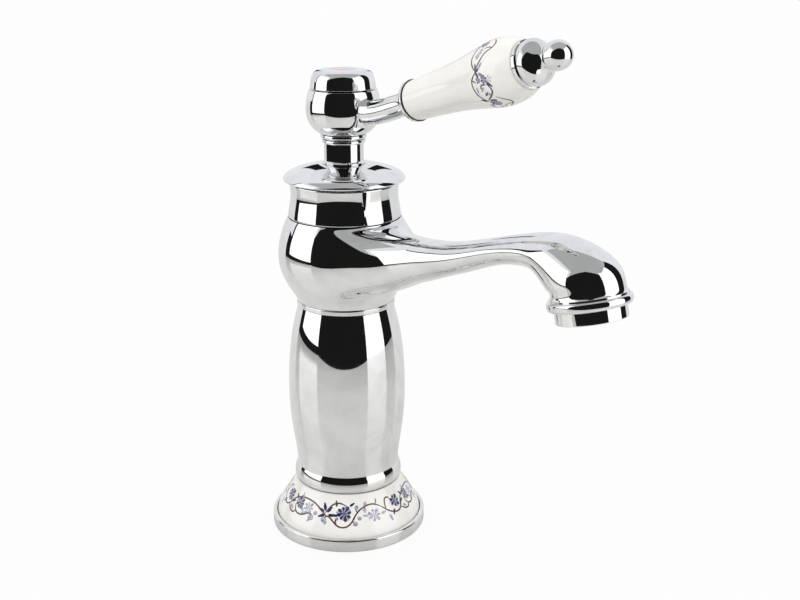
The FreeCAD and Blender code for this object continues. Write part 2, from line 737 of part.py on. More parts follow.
def cartridge():
    """The fixed pieces of the ceramic disc cartridge and the nut that holds it down."""
    base = turned("cartridge_base", (0.0, pocket_floor), (cartridge_radius, pocket_floor),
                  (cartridge_radius, base_top), (0.0, base_top))
    seal_outer = inlet_radius + inlet_seal_width
    drill(base, pocket_floor, cartridge_base_height, inlet_radius, *inlet_places())
    drill(base, pocket_floor, inlet_seal_height, seal_outer + lapped_gap, *inlet_places())
    slot = new_sketch(base, "XY_Plane", lift=base_top)
    slot_end = inlet_radius - mixing_outlet_setback
    add_rectangle(slot, (-2 * cartridge_radius, -inlet_radius), (slot_end, inlet_radius))
    extrude(base, slot, cartridge_base_height / 2, cut=True)

    seals = new_body("inlet_seals")
    seals.AllowCompound = True
    rings = new_sketch(seals, "XY_Plane", lift=pocket_floor)
    for place in inlet_places():
        add_circle(rings, place, seal_outer)
        add_circle(rings, place, inlet_radius)
    extrude(seals, rings, inlet_seal_height)

    disc_radius = housing_bore - seat_clearance
    disc = turned("fixed_disc", (0.0, base_top), (disc_radius, base_top), (disc_radius, fixed_disc_top),
                  (0.0, fixed_disc_top))
    drill(disc, base_top, fixed_disc_height, inlet_radius, (-mixing_outlet_setback, 0.0), *inlet_places())

    flange = pocket_radius - seat_clearance
    groove = pocket_radius - o_ring_section
    flange_bottom_level = housing_top - housing_flange_height
    groove_low = between(flange_bottom_level, housing_top, 0.5) - 0.6 * o_ring_section
    groove_high = groove_low + 1.2 * o_ring_section
    turned("cartridge_housing",
           (housing_bore, base_top), (cartridge_radius, base_top), (cartridge_radius, flange_bottom_level),
           (flange, flange_bottom_level), (flange, groove_low), (groove, groove_low), (groove, groove_high),
           (flange, groove_high), (flange, housing_top), (housing_mouth_radius, housing_top),
           (housing_mouth_radius, housing_top - housing_lip), (housing_bore, housing_top - housing_lip))
    o_ring(groove + o_ring_section / 2, (groove_low + groove_high) / 2, o_ring_section / 2 - lapped_gap)

    nut_top = housing_top + nut_height
    nut = ring("cartridge_nut", nut_bore_radius, pocket_radius - thread_clearance, housing_top, nut_top)
    slots = new_sketch(nut, "XY_Plane", lift=nut_top)
    half = nut_slot_width / 2
    for side in (-1, 1):
        add_rectangle(slots, (side * nut_bore_radius / 2, -half), (side * 2 * nut_bore_radius, half))
        add_rectangle(slots, (-half, side * nut_bore_radius / 2), (half, side * 2 * nut_bore_radius))
    extrude(nut, slots, nut_slot_depth, cut=True)


def o_ring(middle, level, section):
    """A round-section ring about Z, drawn as one section turned about the axis."""
    body = new_body("cartridge_o_ring")
    sketch = new_sketch(body, "XZ_Plane")
    add_circle(sketch, (middle, level), section)
    revolve(body, sketch)


def carrier_and_pin():
    """The part of the cartridge that turns with the lever, and the pin that it lifts on."""
    radius = housing_bore - running_clearance
    low = coupler_top + housing_lip / 4
    high = housing_top - housing_lip - running_clearance
    half_slot = spindle_width / 2 + running_clearance
    carrier = turned("spindle_carrier", (0.0, low), (radius, low), (radius, high), (0.0, high))
    slot = new_sketch(carrier, "XY_Plane", lift=high)
    add_rectangle(slot, (-swing_room, -half_slot), (swing_room, half_slot))
    extrude(carrier, slot, high - low, cut=True)
    bore = new_sketch(carrier, "XZ_Plane")
    add_circle(bore, (0.0, pivot_level), pin_radius)
    extrude(carrier, bore, 2 * cartridge_radius, cut=True, both_ways=True)

    pin = new_body("pivot_pin")
    sketch = new_sketch(pin, "XZ_Plane")
    add_circle(sketch, (0.0, pivot_level), pin_radius - lapped_gap)
    extrude(pin, sketch, 2 * (radius - seat_clearance) - pin_radius, both_ways=True)


def disc_and_coupler():
    """The ceramic disc that slides on the fixed one, and the plate that drags it."""
    disc = new_body("moving_disc")
    sketch = new_sketch(disc, "XY_Plane", lift=moving_disc_bottom)
    add_circle(sketch, (-moving_disc_setback, 0.0), moving_disc_radius)
    extrude(disc, sketch, moving_disc_height)
    recess = new_sketch(disc, "XY_Plane", lift=moving_disc_bottom)
    edge = -(inlet_radius + seat_clearance)
    half = mixing_recess_width / 2
    add_rectangle(recess, (edge - mixing_recess_length, -half), (edge, half))
    extrude(disc, recess, mixing_recess_depth, cut=True, reverse=True)

    coupler = new_body("disc_coupler")
    plate = new_sketch(coupler, "XY_Plane", lift=coupler_bottom)
    add_circle(plate, (-moving_disc_setback, 0.0), coupler_radius)
    add_circle(plate, (0.0, 0.0), ball_radius + 2 * running_clearance)
    extrude(coupler, plate, coupler_height)


def spindle():
    """Square lever pin: a ball below the pivot, a shank above it with a tapped top."""
    body = new_body("spindle")
    shank = new_sketch(body, "XY_Plane", lift=pivot_level - spindle_shank_drop)
    half = spindle_width / 2
    add_rectangle(shank, (-half, -half), (half, half))
    extrude(body, shank, spindle_shank_drop + spindle_rise)
    ball = new_sketch(body, "XZ_Plane")
    neck = 0.6 * ball_radius
    outline(ball, (0.0, ball_level - ball_radius),
            [(ROUND * ball_radius, ball_level - ball_radius),
             (ball_radius, ball_level - ROUND * ball_radius), (ball_radius, ball_level)],
            [(ball_radius, ball_level + 0.5 * ball_radius), (neck, ball_level + 0.75 * ball_radius)],
            (neck, pivot_level), (0.0, pivot_level))
    revolve(body, ball)
    bore = new_sketch(body, "XZ_Plane")
    add_circle(bore, (0.0, pivot_level), pin_radius + running_clearance)
    extrude(body, bore, 2 * spindle_width, cut=True, both_ways=True)
    depth = screw_length
    drill(body, spindle_top - depth, depth, screw_radius + thread_clearance, (0.0, 0.0))


def hat():
    seat = neck_radius + hat_wall / 2
    hole = stem_radius + thread_clearance
    rim = 0.08 * hat_height
    rise = hat_top - hat_rim
    inner_rim = (hat_radius - hat_wall, hat_rim)
    turned("hat",
           inner_rim, (hat_radius - hat_wall / 2, hat_rim),
           [(hat_radius, hat_rim), (hat_radius, hat_rim + rim)],
           [(between(hat_radius, seat, 0.068), hat_rim + 0.36 * rise),
            (between(hat_radius, seat, 0.39), hat_rim + 0.5 * rise), (seat, hat_top)],
           (hole, hat_top), (hole, hat_top - hat_wall),
           (seat, hat_top - hat_wall),
           [(between(hat_radius, seat, 0.39), hat_rim + 0.5 * rise - hat_wall),
            (between(hat_radius, seat, 0.11), hat_rim + 0.36 * rise - hat_wall), inner_rim])


def hub():
    """Stem, neck and cup in one piece, with a square socket for the spindle."""
    body = new_body("hub")
    seat = neck_radius + hat_wall / 2
    bead_low = hat_top + neck_height
    foot = hat_wall / 2
    sketch = new_sketch(body, "XZ_Plane")
    outline(sketch, (0.0, stem_bottom), (stem_radius, stem_bottom), (stem_radius, hat_top), (seat, hat_top),
            (seat, hat_top + foot), (neck_radius, hat_top + 2 * foot), (neck_radius, bead_low),
            [(neck_bead_radius, bead_low), (neck_bead_radius, (bead_low + hub_bottom) / 2)],
            [(neck_bead_radius, hub_bottom), (neck_radius + foot, hub_bottom)],
            [(between(neck_radius, hub_radius, 0.3), between(hub_bottom, hub_top, 0.214)),
             (between(neck_radius, hub_radius, 0.62), between(hub_bottom, hub_top, 0.214)),
             (hub_radius, between(hub_bottom, hub_top, 0.495)),
             (between(hub_radius, hub_top_radius, 0.263), between(hub_bottom, hub_top, 0.8)),
             (hub_top_radius, hub_top)],
            (0.0, hub_top))
    revolve(body, sketch)
    inside = new_sketch(body, "XZ_Plane")
    counterbore = screw_head_radius + 2 * seat_clearance
    outline(inside, (0.0, web_top), (counterbore, web_top), (counterbore, cap_bore_floor),
            (cap_spigot_radius, cap_bore_floor), (cap_spigot_radius, hub_top), (0.0, hub_top))
    revolve(body, inside, cut=True)
    socket = new_sketch(body, "XY_Plane", lift=stem_bottom)
    half = spindle_width / 2 + thread_clearance
    add_rectangle(socket, (-half, -half), (half, half))
    extrude(body, socket, spindle_top + lapped_gap - stem_bottom, cut=True, reverse=True)
    drill(body, spindle_top, web_top - spindle_top, screw_radius + seat_clearance, (0.0, 0.0))
    spigot_end = arm_seat - arm_spigot_length
    steps = ((arm_spigot_radius, spigot_end, arm_seat), (arm_radius, arm_seat, 2 * hub_radius))
    for radius, low, high in steps:
        bore = new_sketch(body, "YZ_Plane", lift=low)
        add_circle(bore, (0.0, arm_level), radius + thread_clearance)
        extrude(body, bore, high - low, cut=True, reverse=True)


def hub_fittings():
    """The screw inside the hub, its cap and the hot and cold mark in the cap."""
    screw_tip = web_top - screw_length
    screw_top = web_top + screw_head_height
    key_radius = screw_head_radius / 2
    key_floor = web_top + screw_head_height / 2
    turned("handle_screw", (0.0, screw_tip), (screw_radius, screw_tip), (screw_radius, web_top),
           (screw_head_radius, web_top), (screw_head_radius, screw_top), (key_radius, screw_top),
           (key_radius, key_floor), (0.0, key_floor))
    spigot = cap_spigot_radius - thread_clearance
    spigot_low = hub_top - cap_spigot_length
    recess = index_radius + thread_clearance
    quirk = 2 * seat_clearance
    skin = index_thickness
    turned("hub_cap", (spigot - skin, spigot_low), (spigot, spigot_low), (spigot, hub_top),
           (hub_top_radius - 2 * quirk, hub_top), (hub_top_radius - 2 * quirk, hub_top + quirk),
           (hub_top_radius - seat_clearance, hub_top + quirk),
           [(hub_top_radius - 4 * seat_clearance, between(hub_top, cap_top, 0.33)),
            (hub_top_radius - 3 * seat_clearance, between(hub_top, cap_top, 0.54)),
            (between(hub_top_radius, recess, 0.5), cap_top - seat_clearance),
            (recess, cap_top - seat_clearance)],
           (recess, cap_top - skin), (0.0, cap_top - skin), (0.0, cap_top - 2.5 * skin),
           (spigot - skin, cap_top - 2.5 * skin))
    turned("index_plug", (0.0, cap_top - skin), (index_radius, cap_top - skin),
           (index_radius, cap_top - seat_clearance), [(index_radius / 2, cap_top), (0.0, cap_top)])


def lever_arm():
    """Arm from the hub to the ferrule, with the ferrule's flared cup."""
    body = new_body("lever_arm")
    ferrule_level = arm_level + ferrule_rise
    stations = ((0.13, 0.0, 0.0, arm_radius), (0.29, 0.1, 8.5, arm_radius),
                (0.52, 0.36, 14.5, between(arm_waist_radius, arm_radius, 0.55)))
    root = arm_seat
    spigot = new_sketch(body, "YZ_Plane", lift=root - arm_spigot_length + seat_clearance)
    add_circle(spigot, (0.0, arm_level), arm_spigot_radius)
    extrude(body, spigot, arm_spigot_length)
    shoulder = new_sketch(body, "YZ_Plane", lift=root)
    add_circle(shoulder, (0.0, arm_level), arm_radius)
    extrude(body, shoulder, between(root, ferrule_reach, 0.13) - root)
    sections = []
    for reach, rise, tilt, radius in stations:
        place = (between(root, ferrule_reach, reach), between(arm_level, ferrule_level, rise))
        sections.append(round_section(body, *place, tilt, radius))
    waist_reach = ferrule_reach - ferrule_length * cosine(lever_tilt)
    waist_level = ferrule_level - ferrule_length * sine(lever_tilt)
    sections.append(round_section(body, waist_reach, waist_level, lever_tilt, arm_waist_radius))
    loft(body, sections)

    cup = new_sketch(body, "XZ_Plane", shift=(ferrule_reach, ferrule_level), turn=lever_tilt - 90.0)
    tap = rod_radius + thread_clearance
    tap_end = -rod_inset - seat_clearance
    outline(cup, (0.0, -ferrule_length), (arm_waist_radius, -ferrule_length),
            [(arm_waist_radius, -0.5 * ferrule_length), (arm_waist_radius, -0.3 * ferrule_length),
             (between(arm_waist_radius, ferrule_radius, 0.7), -1.3 * ferrule_rim),
             (ferrule_radius - ferrule_rim / 4, -ferrule_rim)],
            (ferrule_radius, -0.75 * ferrule_rim), (ferrule_radius, 0.0), (tap, 0.0),
            (tap, tap_end), (0.0, tap_end))
    revolve(body, cup)
    bore = new_sketch(body, "XZ_Plane", shift=(ferrule_reach, ferrule_level), turn=lever_tilt - 90.0)
    outline(bore, (0.0, 0.0), (tap, 0.0), (tap, tap_end), (0.0, tap_end))
    revolve(body, bore, cut=True)


def lever_grip():
    """The pieces strung on the tie rod, turned about the lever's axis."""
    rod_bore = rod_radius + seat_clearance
    grip_start = grip_washer_thickness
    grip_end = grip_start + grip_length
    bell_end = grip_end + bell_length
    ball = bell_end + 0.82 * finial_radius
    edge = grip_washer_thickness
    step = 0.14 * bell_length
    pieces = [
        ring("grip_washer", rod_bore, ferrule_radius - edge / 8, 0.0, grip_washer_thickness),
        turned("porcelain_grip", (rod_bore, grip_start), (grip_root_radius - edge, grip_start),
               [(grip_root_radius, grip_start), (grip_root_radius, grip_start + edge)],
               [(between(grip_root_radius, grip_radius, 0.136), between(grip_start, grip_end, 0.324)),
                (between(grip_root_radius, grip_radius, 0.318), between(grip_start, grip_end, 0.528)),
                (grip_radius, between(grip_start, grip_end, 0.837)),
                (between(grip_radius, grip_end_radius, 0.878), between(grip_start, grip_end, 0.954)),
                (grip_end_radius, grip_end)],
               (rod_bore, grip_end)),
        turned("tie_rod", (0.0, -rod_inset), (rod_radius, -rod_inset), (rod_radius, ball), (0.0, ball)),
        turned("end_bell", (rod_bore, grip_end), (bell_radius, grip_end), (bell_radius, grip_end + step),
               (bell_radius - 0.05 * bell_radius, grip_end + step),
               [(bell_radius, grip_end + 3 * step),
                (between(bell_radius, bell_neck_radius, 0.35), grip_end + 0.75 * bell_length),
                (bell_neck_radius, bell_end - step), (bell_neck_radius, bell_end)],
               (rod_bore, bell_end)),
        turned("finial", (rod_bore, bell_end), (bell_neck_radius - edge / 2, bell_end),
               [(finial_radius, bell_end + 0.15 * finial_radius),
                (finial_radius, ball - 0.4 * finial_radius), (finial_radius, ball)],
               [(finial_radius, ball + ROUND * finial_radius),
                (ROUND * finial_radius, ball + finial_radius), (0.0, ball + finial_radius)],
               (0.0, ball + seat_clearance), (rod_bore, ball + seat_clearance))]
    for piece in pieces:
        place_on(piece, ferrule_reach, arm_level + ferrule_rise, 90.0 - lever_tilt)


def finish():
    """Check every object, then write one STEP file for each sub-part."""
    doc.recompute()
    for item in doc.Objects:
        if "Invalid" in item.State or "Error" in item.State:
            raise RuntimeError(f"{item.Label} ({item.Name}) failed: {item.State}")
    for node in nodes:
        if node.Shape.isNull() or not node.Shape.isValid():
            raise RuntimeError(f"{node.Label} has no valid shape")
    os.makedirs("parts", exist_ok=True)
    for node in nodes:
        node.Shape.exportStep(f"parts/{node.Label}.step")
        print(f"{node.Label:18s} {len(node.Shape.Solids)} solid {node.Shape.Volume:10.1f} mm3")


foot_ring()
base_seal()
porcelain_skirt()
column()
spout_body()
aerator()
collar()
cartridge()
carrier_and_pin()
disc_and_coupler()
spindle()
hat()
hub()
hub_fittings()
lever_arm()
lever_grip()
finish()
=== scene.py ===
# %% [markdown]
# # A basin mixer tap, dressed in Blender
#
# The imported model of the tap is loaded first, as a fixed frame. Every piece that is modelled here sits
# where the frame says and moves with one of its bodies. Lengths are written in millimetres, because that is
# how a tap is drawn, and one factor turns them into Blender's metres.

# %% Load the tap and keep its box
import math

import bpy
import numpy as np
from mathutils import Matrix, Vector


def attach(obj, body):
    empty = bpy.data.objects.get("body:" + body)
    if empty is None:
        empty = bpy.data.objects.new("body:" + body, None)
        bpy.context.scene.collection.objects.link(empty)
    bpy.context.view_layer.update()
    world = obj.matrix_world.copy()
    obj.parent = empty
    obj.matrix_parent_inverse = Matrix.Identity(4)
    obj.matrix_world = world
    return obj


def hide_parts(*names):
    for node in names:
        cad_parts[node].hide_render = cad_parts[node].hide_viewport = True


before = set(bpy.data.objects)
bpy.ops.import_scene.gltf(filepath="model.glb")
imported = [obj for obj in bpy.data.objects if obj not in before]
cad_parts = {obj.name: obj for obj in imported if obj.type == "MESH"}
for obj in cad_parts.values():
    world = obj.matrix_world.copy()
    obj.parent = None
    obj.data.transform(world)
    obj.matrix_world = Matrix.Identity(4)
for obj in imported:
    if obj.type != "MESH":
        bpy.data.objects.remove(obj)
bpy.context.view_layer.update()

MM = 0.001


def start_clean():
    bpy.ops.object.select_all(action="DESELECT")


# %% [markdown]
# ## The camera
#
# The photograph looks at the tap from its right front, a little above the lever. The camera stands there,
# with a long lens so that the tap keeps its shape. Its place came from comparing the outline of the model
# with the photograph, and it could also have been found by eye with the picture as a background image.

# %% Camera
CAMERA_PLACE = Vector((357.9, -292.8, 241.7)) * MM
CAMERA_TILT = math.radians(72.6)
CAMERA_TURN = math.radians(48.0)
CAMERA_LENS = 53.775

start_clean()
bpy.ops.object.camera_add(location=CAMERA_PLACE, rotation=(CAMERA_TILT, 0, CAMERA_TURN))
camera = bpy.context.object
camera.name = "photo_camera"
camera.data.lens = CAMERA_LENS
camera.data.sensor_width = 36.0
camera.data.clip_start = 0.01
bpy.context.scene.camera = camera
bpy.context.scene.view_settings.view_transform = "Standard"
print("camera at", [round(part, 4) for part in camera.location])

# %% [markdown]
# ## The studio
#
# Chrome has hardly any colour of its own: it shows the room. In a studio it is lit with large white boxes,
# and the side of the camera is left dark, so that the edges of each form read. The same is done here. The
# room itself is a pale world: white where the camera looks, and a pale grey in reflections.


# %% World
def background(tree, colour, level):
    light = tree.nodes.new("ShaderNodeBackground")
    light.inputs["Color"].default_value = colour
    light.inputs["Strength"].default_value = level
    return light.outputs["Background"]


def choose(tree, question, no, yes):
    mix = tree.nodes.new("ShaderNodeMixShader")
    tree.links.new(question, mix.inputs["Fac"])
    tree.links.new(no, mix.inputs[1])
    tree.links.new(yes, mix.inputs[2])
    return mix.outputs["Shader"]


def pale_room():
    """White for the camera, a pale grey in reflections, and a neutral soft light on everything else."""
    world = bpy.data.worlds.new("pale_room")
    world.use_nodes = True
    tree = world.node_tree
    tree.nodes.clear()
    path = tree.nodes.new("ShaderNodeLightPath")
    soft = background(tree, (1.0, 0.995, 0.985, 1), 0.88)
    mirrored = background(tree, (0.955, 0.97, 1.0, 1), 0.90)
    seen = background(tree, (1, 1, 1, 1), 1.0)
    lit = choose(tree, path.outputs["Is Glossy Ray"], soft, mirrored)
    output = tree.nodes.new("ShaderNodeOutputWorld")
    tree.links.new(choose(tree, path.outputs["Is Camera Ray"], lit, seen), output.inputs["Surface"])
    bpy.context.scene.world = world
    return world


room = pale_room()
print("world:", room.name)

# %% [markdown]
# ### Table
#
# The tap stands on a smooth white table, which mirrors its foot a little and lights the forms from below. A
# plane is enough, because its edge never shows.

# %% Table
TABLE_SIDE = 30.0
TABLE_GLOW = 0.93


def table_finish():
    """A smooth white table that mirrors a little; the camera sees it nearly white, with a trace of shadow."""
    white_top = bpy.data.materials.new("white_table")
    white_top.use_nodes = True
    tree = white_top.node_tree
    top = tree.nodes["Principled BSDF"]
    top.inputs["Base Color"].default_value = (0.735, 0.73, 0.71, 1)
    top.inputs["Roughness"].default_value = 0.16
    glow = tree.nodes.new("ShaderNodeEmission")
    glow.inputs["Strength"].default_value = 1.0
    path = tree.nodes.new("ShaderNodeLightPath")
    share = tree.nodes.new("ShaderNodeMath")
    share.operation = "MULTIPLY"
    share.inputs[1].default_value = TABLE_GLOW
    tree.links.new(path.outputs["Is Camera Ray"], share.inputs[0])
    seen = choose(tree, share.outputs["Value"], top.outputs["BSDF"], glow.outputs["Emission"])
    tree.links.new(seen, tree.nodes["Material Output"].inputs["Surface"])
    return white_top


start_clean()
bpy.ops.mesh.primitive_plane_add(size=TABLE_SIDE, location=(0, 0, 0))
table = bpy.context.object
table.name = "table"
table.data.materials.append(table_finish())
print("table:", [round(side, 1) for side in table.dimensions])

# %% [markdown]
# ### Cards
#
# A dark wall with a grey ceiling stands on the camera's side, and two white boxes with dark casings stand
# left and right of it. Two small flags behind the hat give it its dark marks. The cards are only there for
# reflections, so the camera and the soft light pass through them. A picture of a room could do the same, but
# with cards each edge in the chrome can be set by itself.

# %% Cards
TOWARDS_CAMERA = CAMERA_TURN - math.pi / 2
BOX_REACH, BOX_BACK = 0.71, 0.72
STRIP_CUTS = 15


def card_finish(name, level):
    card = bpy.data.materials.new(name)
    card.use_nodes = True
    tree = card.node_tree
    tree.nodes.clear()
    output = tree.nodes.new("ShaderNodeOutputMaterial")
    glow = tree.nodes.new("ShaderNodeEmission")
    glow.inputs["Strength"].default_value = level
    tree.links.new(glow.outputs["Emission"], output.inputs["Surface"])
    return card


def set_card(card, name, finish):
    card.name = name
    card.data.materials.append(finish)
    card.visible_camera = False
    card.visible_diffuse = False
    card.visible_shadow = False
    card.visible_transmission = False


def flat_card(name, finish, *corners):
    """Four corners as distance towards the camera, distance to its right, and height; in metres."""
    start_clean()
    bpy.ops.mesh.primitive_plane_add(size=1.0)
    card = bpy.context.object
    ahead = Vector((math.cos(TOWARDS_CAMERA), math.sin(TOWARDS_CAMERA), 0))
    right = Vector((-ahead.y, ahead.x, 0))
    for point, (near, side, height) in zip(card.data.vertices, corners):
        point.co = ahead * near + right * side + Vector((0, 0, height))
    set_card(card, name, finish)


def upright_card(name, finish, ahead, left, right, low, high):
    flat_card(
        name, finish, (ahead, left, low), (ahead, right, low), (ahead, left, high), (ahead, right, high)
    )


def curved_card(name, finish, first, last, reach, low, high):
    """A strip on an arc round the tap; its angles count from the camera's side to the right."""
    start_clean()
    bpy.ops.mesh.primitive_plane_add(size=1.0)
    card = bpy.context.object
    bpy.ops.object.mode_set(mode="EDIT")
    bpy.ops.mesh.subdivide(number_cuts=STRIP_CUTS)
    bpy.ops.object.mode_set(mode="OBJECT")
    for point in card.data.vertices:
        share, rise = point.co.x + 0.5, point.co.y + 0.5
        angle = TOWARDS_CAMERA + math.radians(first + (last - first) * share)
        point.co = (reach * math.cos(angle), reach * math.sin(angle), low + (high - low) * rise)
    set_card(card, name, finish)


black_card = card_finish("black_card", 0.011)
white_card = card_finish("white_card", 1.4)
grey_card = card_finish("grey_card", 0.46)
print("card finishes:", black_card.name, white_card.name, grey_card.name)

# %% Set the cards
WALL_AHEAD, WALL_LEFT, WALL_RIGHT = 0.465, -0.62, 0.43
WALL_TOP = 0.80
GREY_AHEAD, CEILING_BACK, CEILING_HEIGHT = 0.475, -0.18, 0.82
CEILING_LEFT, CEILING_RIGHT = -0.55, 0.6
FLAG_AHEAD, FLAG_LOW, FLAG_HIGH = -0.15, 0.184, 0.242

wall_foot, wall_head = (WALL_AHEAD, 0, 0), (WALL_AHEAD, 0, WALL_TOP)
flat_card("dark_wall_left", black_card, (0.40, WALL_LEFT, 0), wall_foot, (0.40, WALL_LEFT, 0.42), wall_head)
flat_card(
    "dark_wall_right", black_card,
    wall_foot, (WALL_AHEAD, WALL_RIGHT, 0), wall_head, (WALL_AHEAD, WALL_RIGHT, 0.66),
)
upright_card("grey_wall", grey_card, GREY_AHEAD, WALL_LEFT, WALL_RIGHT, 0.4, CEILING_HEIGHT)
flat_card(
    "ceiling", grey_card,
    (GREY_AHEAD, CEILING_LEFT, CEILING_HEIGHT), (GREY_AHEAD, CEILING_RIGHT, CEILING_HEIGHT),
    (CEILING_BACK, CEILING_LEFT, CEILING_HEIGHT), (CEILING_BACK, CEILING_RIGHT, CEILING_HEIGHT),
)
curved_card("left_box", white_card, -105, -57, BOX_REACH, 0.05, 0.75)
curved_card("left_box_foot", black_card, -105, -57, BOX_BACK, 0.0, 0.05)
curved_card("left_casing", black_card, -118, -105, BOX_REACH, 0.0, 0.22)
curved_card("left_casing_edge", black_card, -109, -105, BOX_REACH, 0.22, 0.75)
curved_card("right_box", white_card, 43, 85, BOX_REACH, 0.0, 0.92)
curved_card("right_casing", black_card, 85, 112, BOX_BACK, 0.0, 0.96)
upright_card("back_flag_left", black_card, FLAG_AHEAD, -0.048, -0.029, FLAG_LOW, FLAG_HIGH)
upright_card("back_flag_right", black_card, FLAG_AHEAD, 0.024, 0.037, FLAG_LOW, FLAG_HIGH)
print("cards set round the tap")

# %% [markdown]
# ### Lamps
#
# Two large lamps model the porcelain softly. They stay out of the reflections, where the cards do the work.

# %% Lamps
LAMP_AIM = Vector((0.03, 0, 0.1))
LAMP_SIZE = 0.9


def soft_lamp(name, place, power):
    start_clean()
    bpy.ops.object.light_add(type="AREA", location=place)
    lamp = bpy.context.object
    lamp.name = name
    lamp.data.shape = "SQUARE"
    lamp.data.size = LAMP_SIZE
    lamp.data.energy = power
    aim = LAMP_AIM - Vector(place)
    lamp.rotation_euler = aim.to_track_quat("-Z", "Y").to_euler()
    lamp.visible_camera = False
    lamp.visible_glossy = False


soft_lamp("key_lamp", (0.2, -1.1, 1.0), 4.5)
soft_lamp("fill_lamp", (1.0, 0.5, 0.9), 3.0)

# %% [markdown]
# ## Finishes
#
# Each finish is a small node tree on the object's own coordinates, so it stays on the piece when the piece
# moves. A painted image would be quicker for the clouding, but noise has no edge and no resolution.


# %% Helpers for finishes
def new_finish(name):
    finish = bpy.data.materials.new(name)
    finish.use_nodes = True
    tree = finish.node_tree
    shader = tree.nodes["Principled BSDF"]
    place = tree.nodes.new("ShaderNodeTexCoord")
    return finish, tree, shader, place


def noise(tree, place, scale, detail=3.0, roughness=0.5, distortion=0.0):
    pattern = tree.nodes.new("ShaderNodeTexNoise")
    pattern.inputs["Scale"].default_value = scale
    pattern.inputs["Detail"].default_value = detail
    pattern.inputs["Roughness"].default_value = roughness
    pattern.inputs["Distortion"].default_value = distortion
    tree.links.new(place.outputs["Object"], pattern.inputs["Vector"])
    return pattern


def two_tones(tree, pattern, dark, light, low=0.35, high=0.65):
    ramp = tree.nodes.new("ShaderNodeValToRGB")
    ramp.color_ramp.elements[0].position = low
    ramp.color_ramp.elements[0].color = dark
    ramp.color_ramp.elements[1].position = high
    ramp.color_ramp.elements[1].color = light
    tree.links.new(pattern.outputs["Fac"], ramp.inputs["Fac"])
    return ramp


def spread(tree, pattern, low, high):
    span = tree.nodes.new("ShaderNodeMapRange")
    span.inputs["From Min"].default_value = 0.3
    span.inputs["From Max"].default_value = 0.7
    span.inputs["To Min"].default_value = low
    span.inputs["To Max"].default_value = high
    tree.links.new(pattern.outputs["Fac"], span.inputs["Value"])
    return span


def relief(tree, shader, pattern, strength, depth):
    bump = tree.nodes.new("ShaderNodeBump")
    bump.inputs["Strength"].default_value = strength
    bump.inputs["Distance"].default_value = depth
    tree.links.new(pattern.outputs["Fac"], bump.inputs["Height"])
    tree.links.new(bump.outputs["Normal"], shader.inputs["Normal"])


# %% [markdown]
# ### Chrome
#
# Chrome plate is a mirror with a faint bluish grey. Handling leaves wisps on it, so the tone and the gloss
# vary a little, at the size of a fingertip. The seams between two pieces get painted shade: the colour
# darkens where other metal stands closer than the reach of a seam.

# %% Chrome plate
SEAM_SHADE_REACH = 0.7
SEAM_SHADE_TONE = 0.12


def painted_seam_shade(tree):
    """Painted seam shade: one on open metal, and down to a dark tone where other metal stands close."""
    seam_closeness = tree.nodes.new("ShaderNodeAmbientOcclusion")
    seam_closeness.samples = 8
    seam_closeness.inputs["Distance"].default_value = SEAM_SHADE_REACH * MM
    shade = tree.nodes.new("ShaderNodeMapRange")
    shade.inputs["From Min"].default_value = 0.35
    shade.inputs["From Max"].default_value = 0.75
    shade.inputs["To Min"].default_value = SEAM_SHADE_TONE
    tree.links.new(seam_closeness.outputs["AO"], shade.inputs["Value"])
    return shade


def chrome_finish():
    finish, tree, shader, place = new_finish("chrome_plate")
    shader.inputs["Metallic"].default_value = 1.0
    wisps = noise(tree, place, scale=48.0, detail=8.0, roughness=0.6, distortion=1.8)
    tone = two_tones(tree, wisps, (0.76, 0.765, 0.775, 1), (0.86, 0.865, 0.875, 1), 0.36, 0.58)
    plate = tree.nodes.new("ShaderNodeVectorMath")
    plate.operation = "SCALE"
    tree.links.new(tone.outputs["Color"], plate.inputs["Vector"])
    # The base colour is the wisp tone times the painted shade of the seams.
    tree.links.new(painted_seam_shade(tree).outputs["Result"], plate.inputs["Scale"])
    tree.links.new(plate.outputs["Vector"], shader.inputs["Base Color"])
    handling = noise(tree, place, scale=70.0, detail=6.0, roughness=0.6)
    gloss = spread(tree, handling, 0.012, 0.045)
    tree.links.new(gloss.outputs["Result"], shader.inputs["Roughness"])
    return finish


chrome = chrome_finish()
print("finish:", chrome.name)

# %% [markdown]
# ### Porcelain
#
# The skirt and the grip are glazed porcelain: a warm white body under a clear, slightly wavy glaze. A coat
# on the shader stands for the glaze, and a faint relief makes its highlights swim as they do on fired ware.


# %% Porcelain glaze
def porcelain_finish():
    finish, tree, shader, place = new_finish("porcelain_glaze")
    shader.inputs["Specular IOR Level"].default_value = 0.5
    shader.inputs["Coat Weight"].default_value = 0.3
    shader.inputs["Coat Roughness"].default_value = 0.03
    body_tone = noise(tree, place, scale=55.0)
    tone = two_tones(tree, body_tone, (0.90, 0.885, 0.85, 1), (0.935, 0.925, 0.895, 1))
    tree.links.new(tone.outputs["Color"], shader.inputs["Base Color"])
    gloss = spread(tree, noise(tree, place, scale=120.0), 0.07, 0.12)
    tree.links.new(gloss.outputs["Result"], shader.inputs["Roughness"])
    relief(tree, shader, noise(tree, place, scale=160.0, detail=2.0), strength=0.05, depth=0.2 * MM)
    return finish


porcelain = porcelain_finish()
print("finish:", porcelain.name)

# %% [markdown]
# ### Inner pieces and the mark
#
# Rubber, plastic, ceramic, brass and steel hardly show, but they come to light when the lever is lifted.
# One recipe serves them all: two tones, a grain and a range of gloss. The mark in the cap is enamel, red
# for hot and blue for cold.

# %% Plain finishes
GRAIN_FINENESS = 6
GRAIN_STRENGTH = 0.15
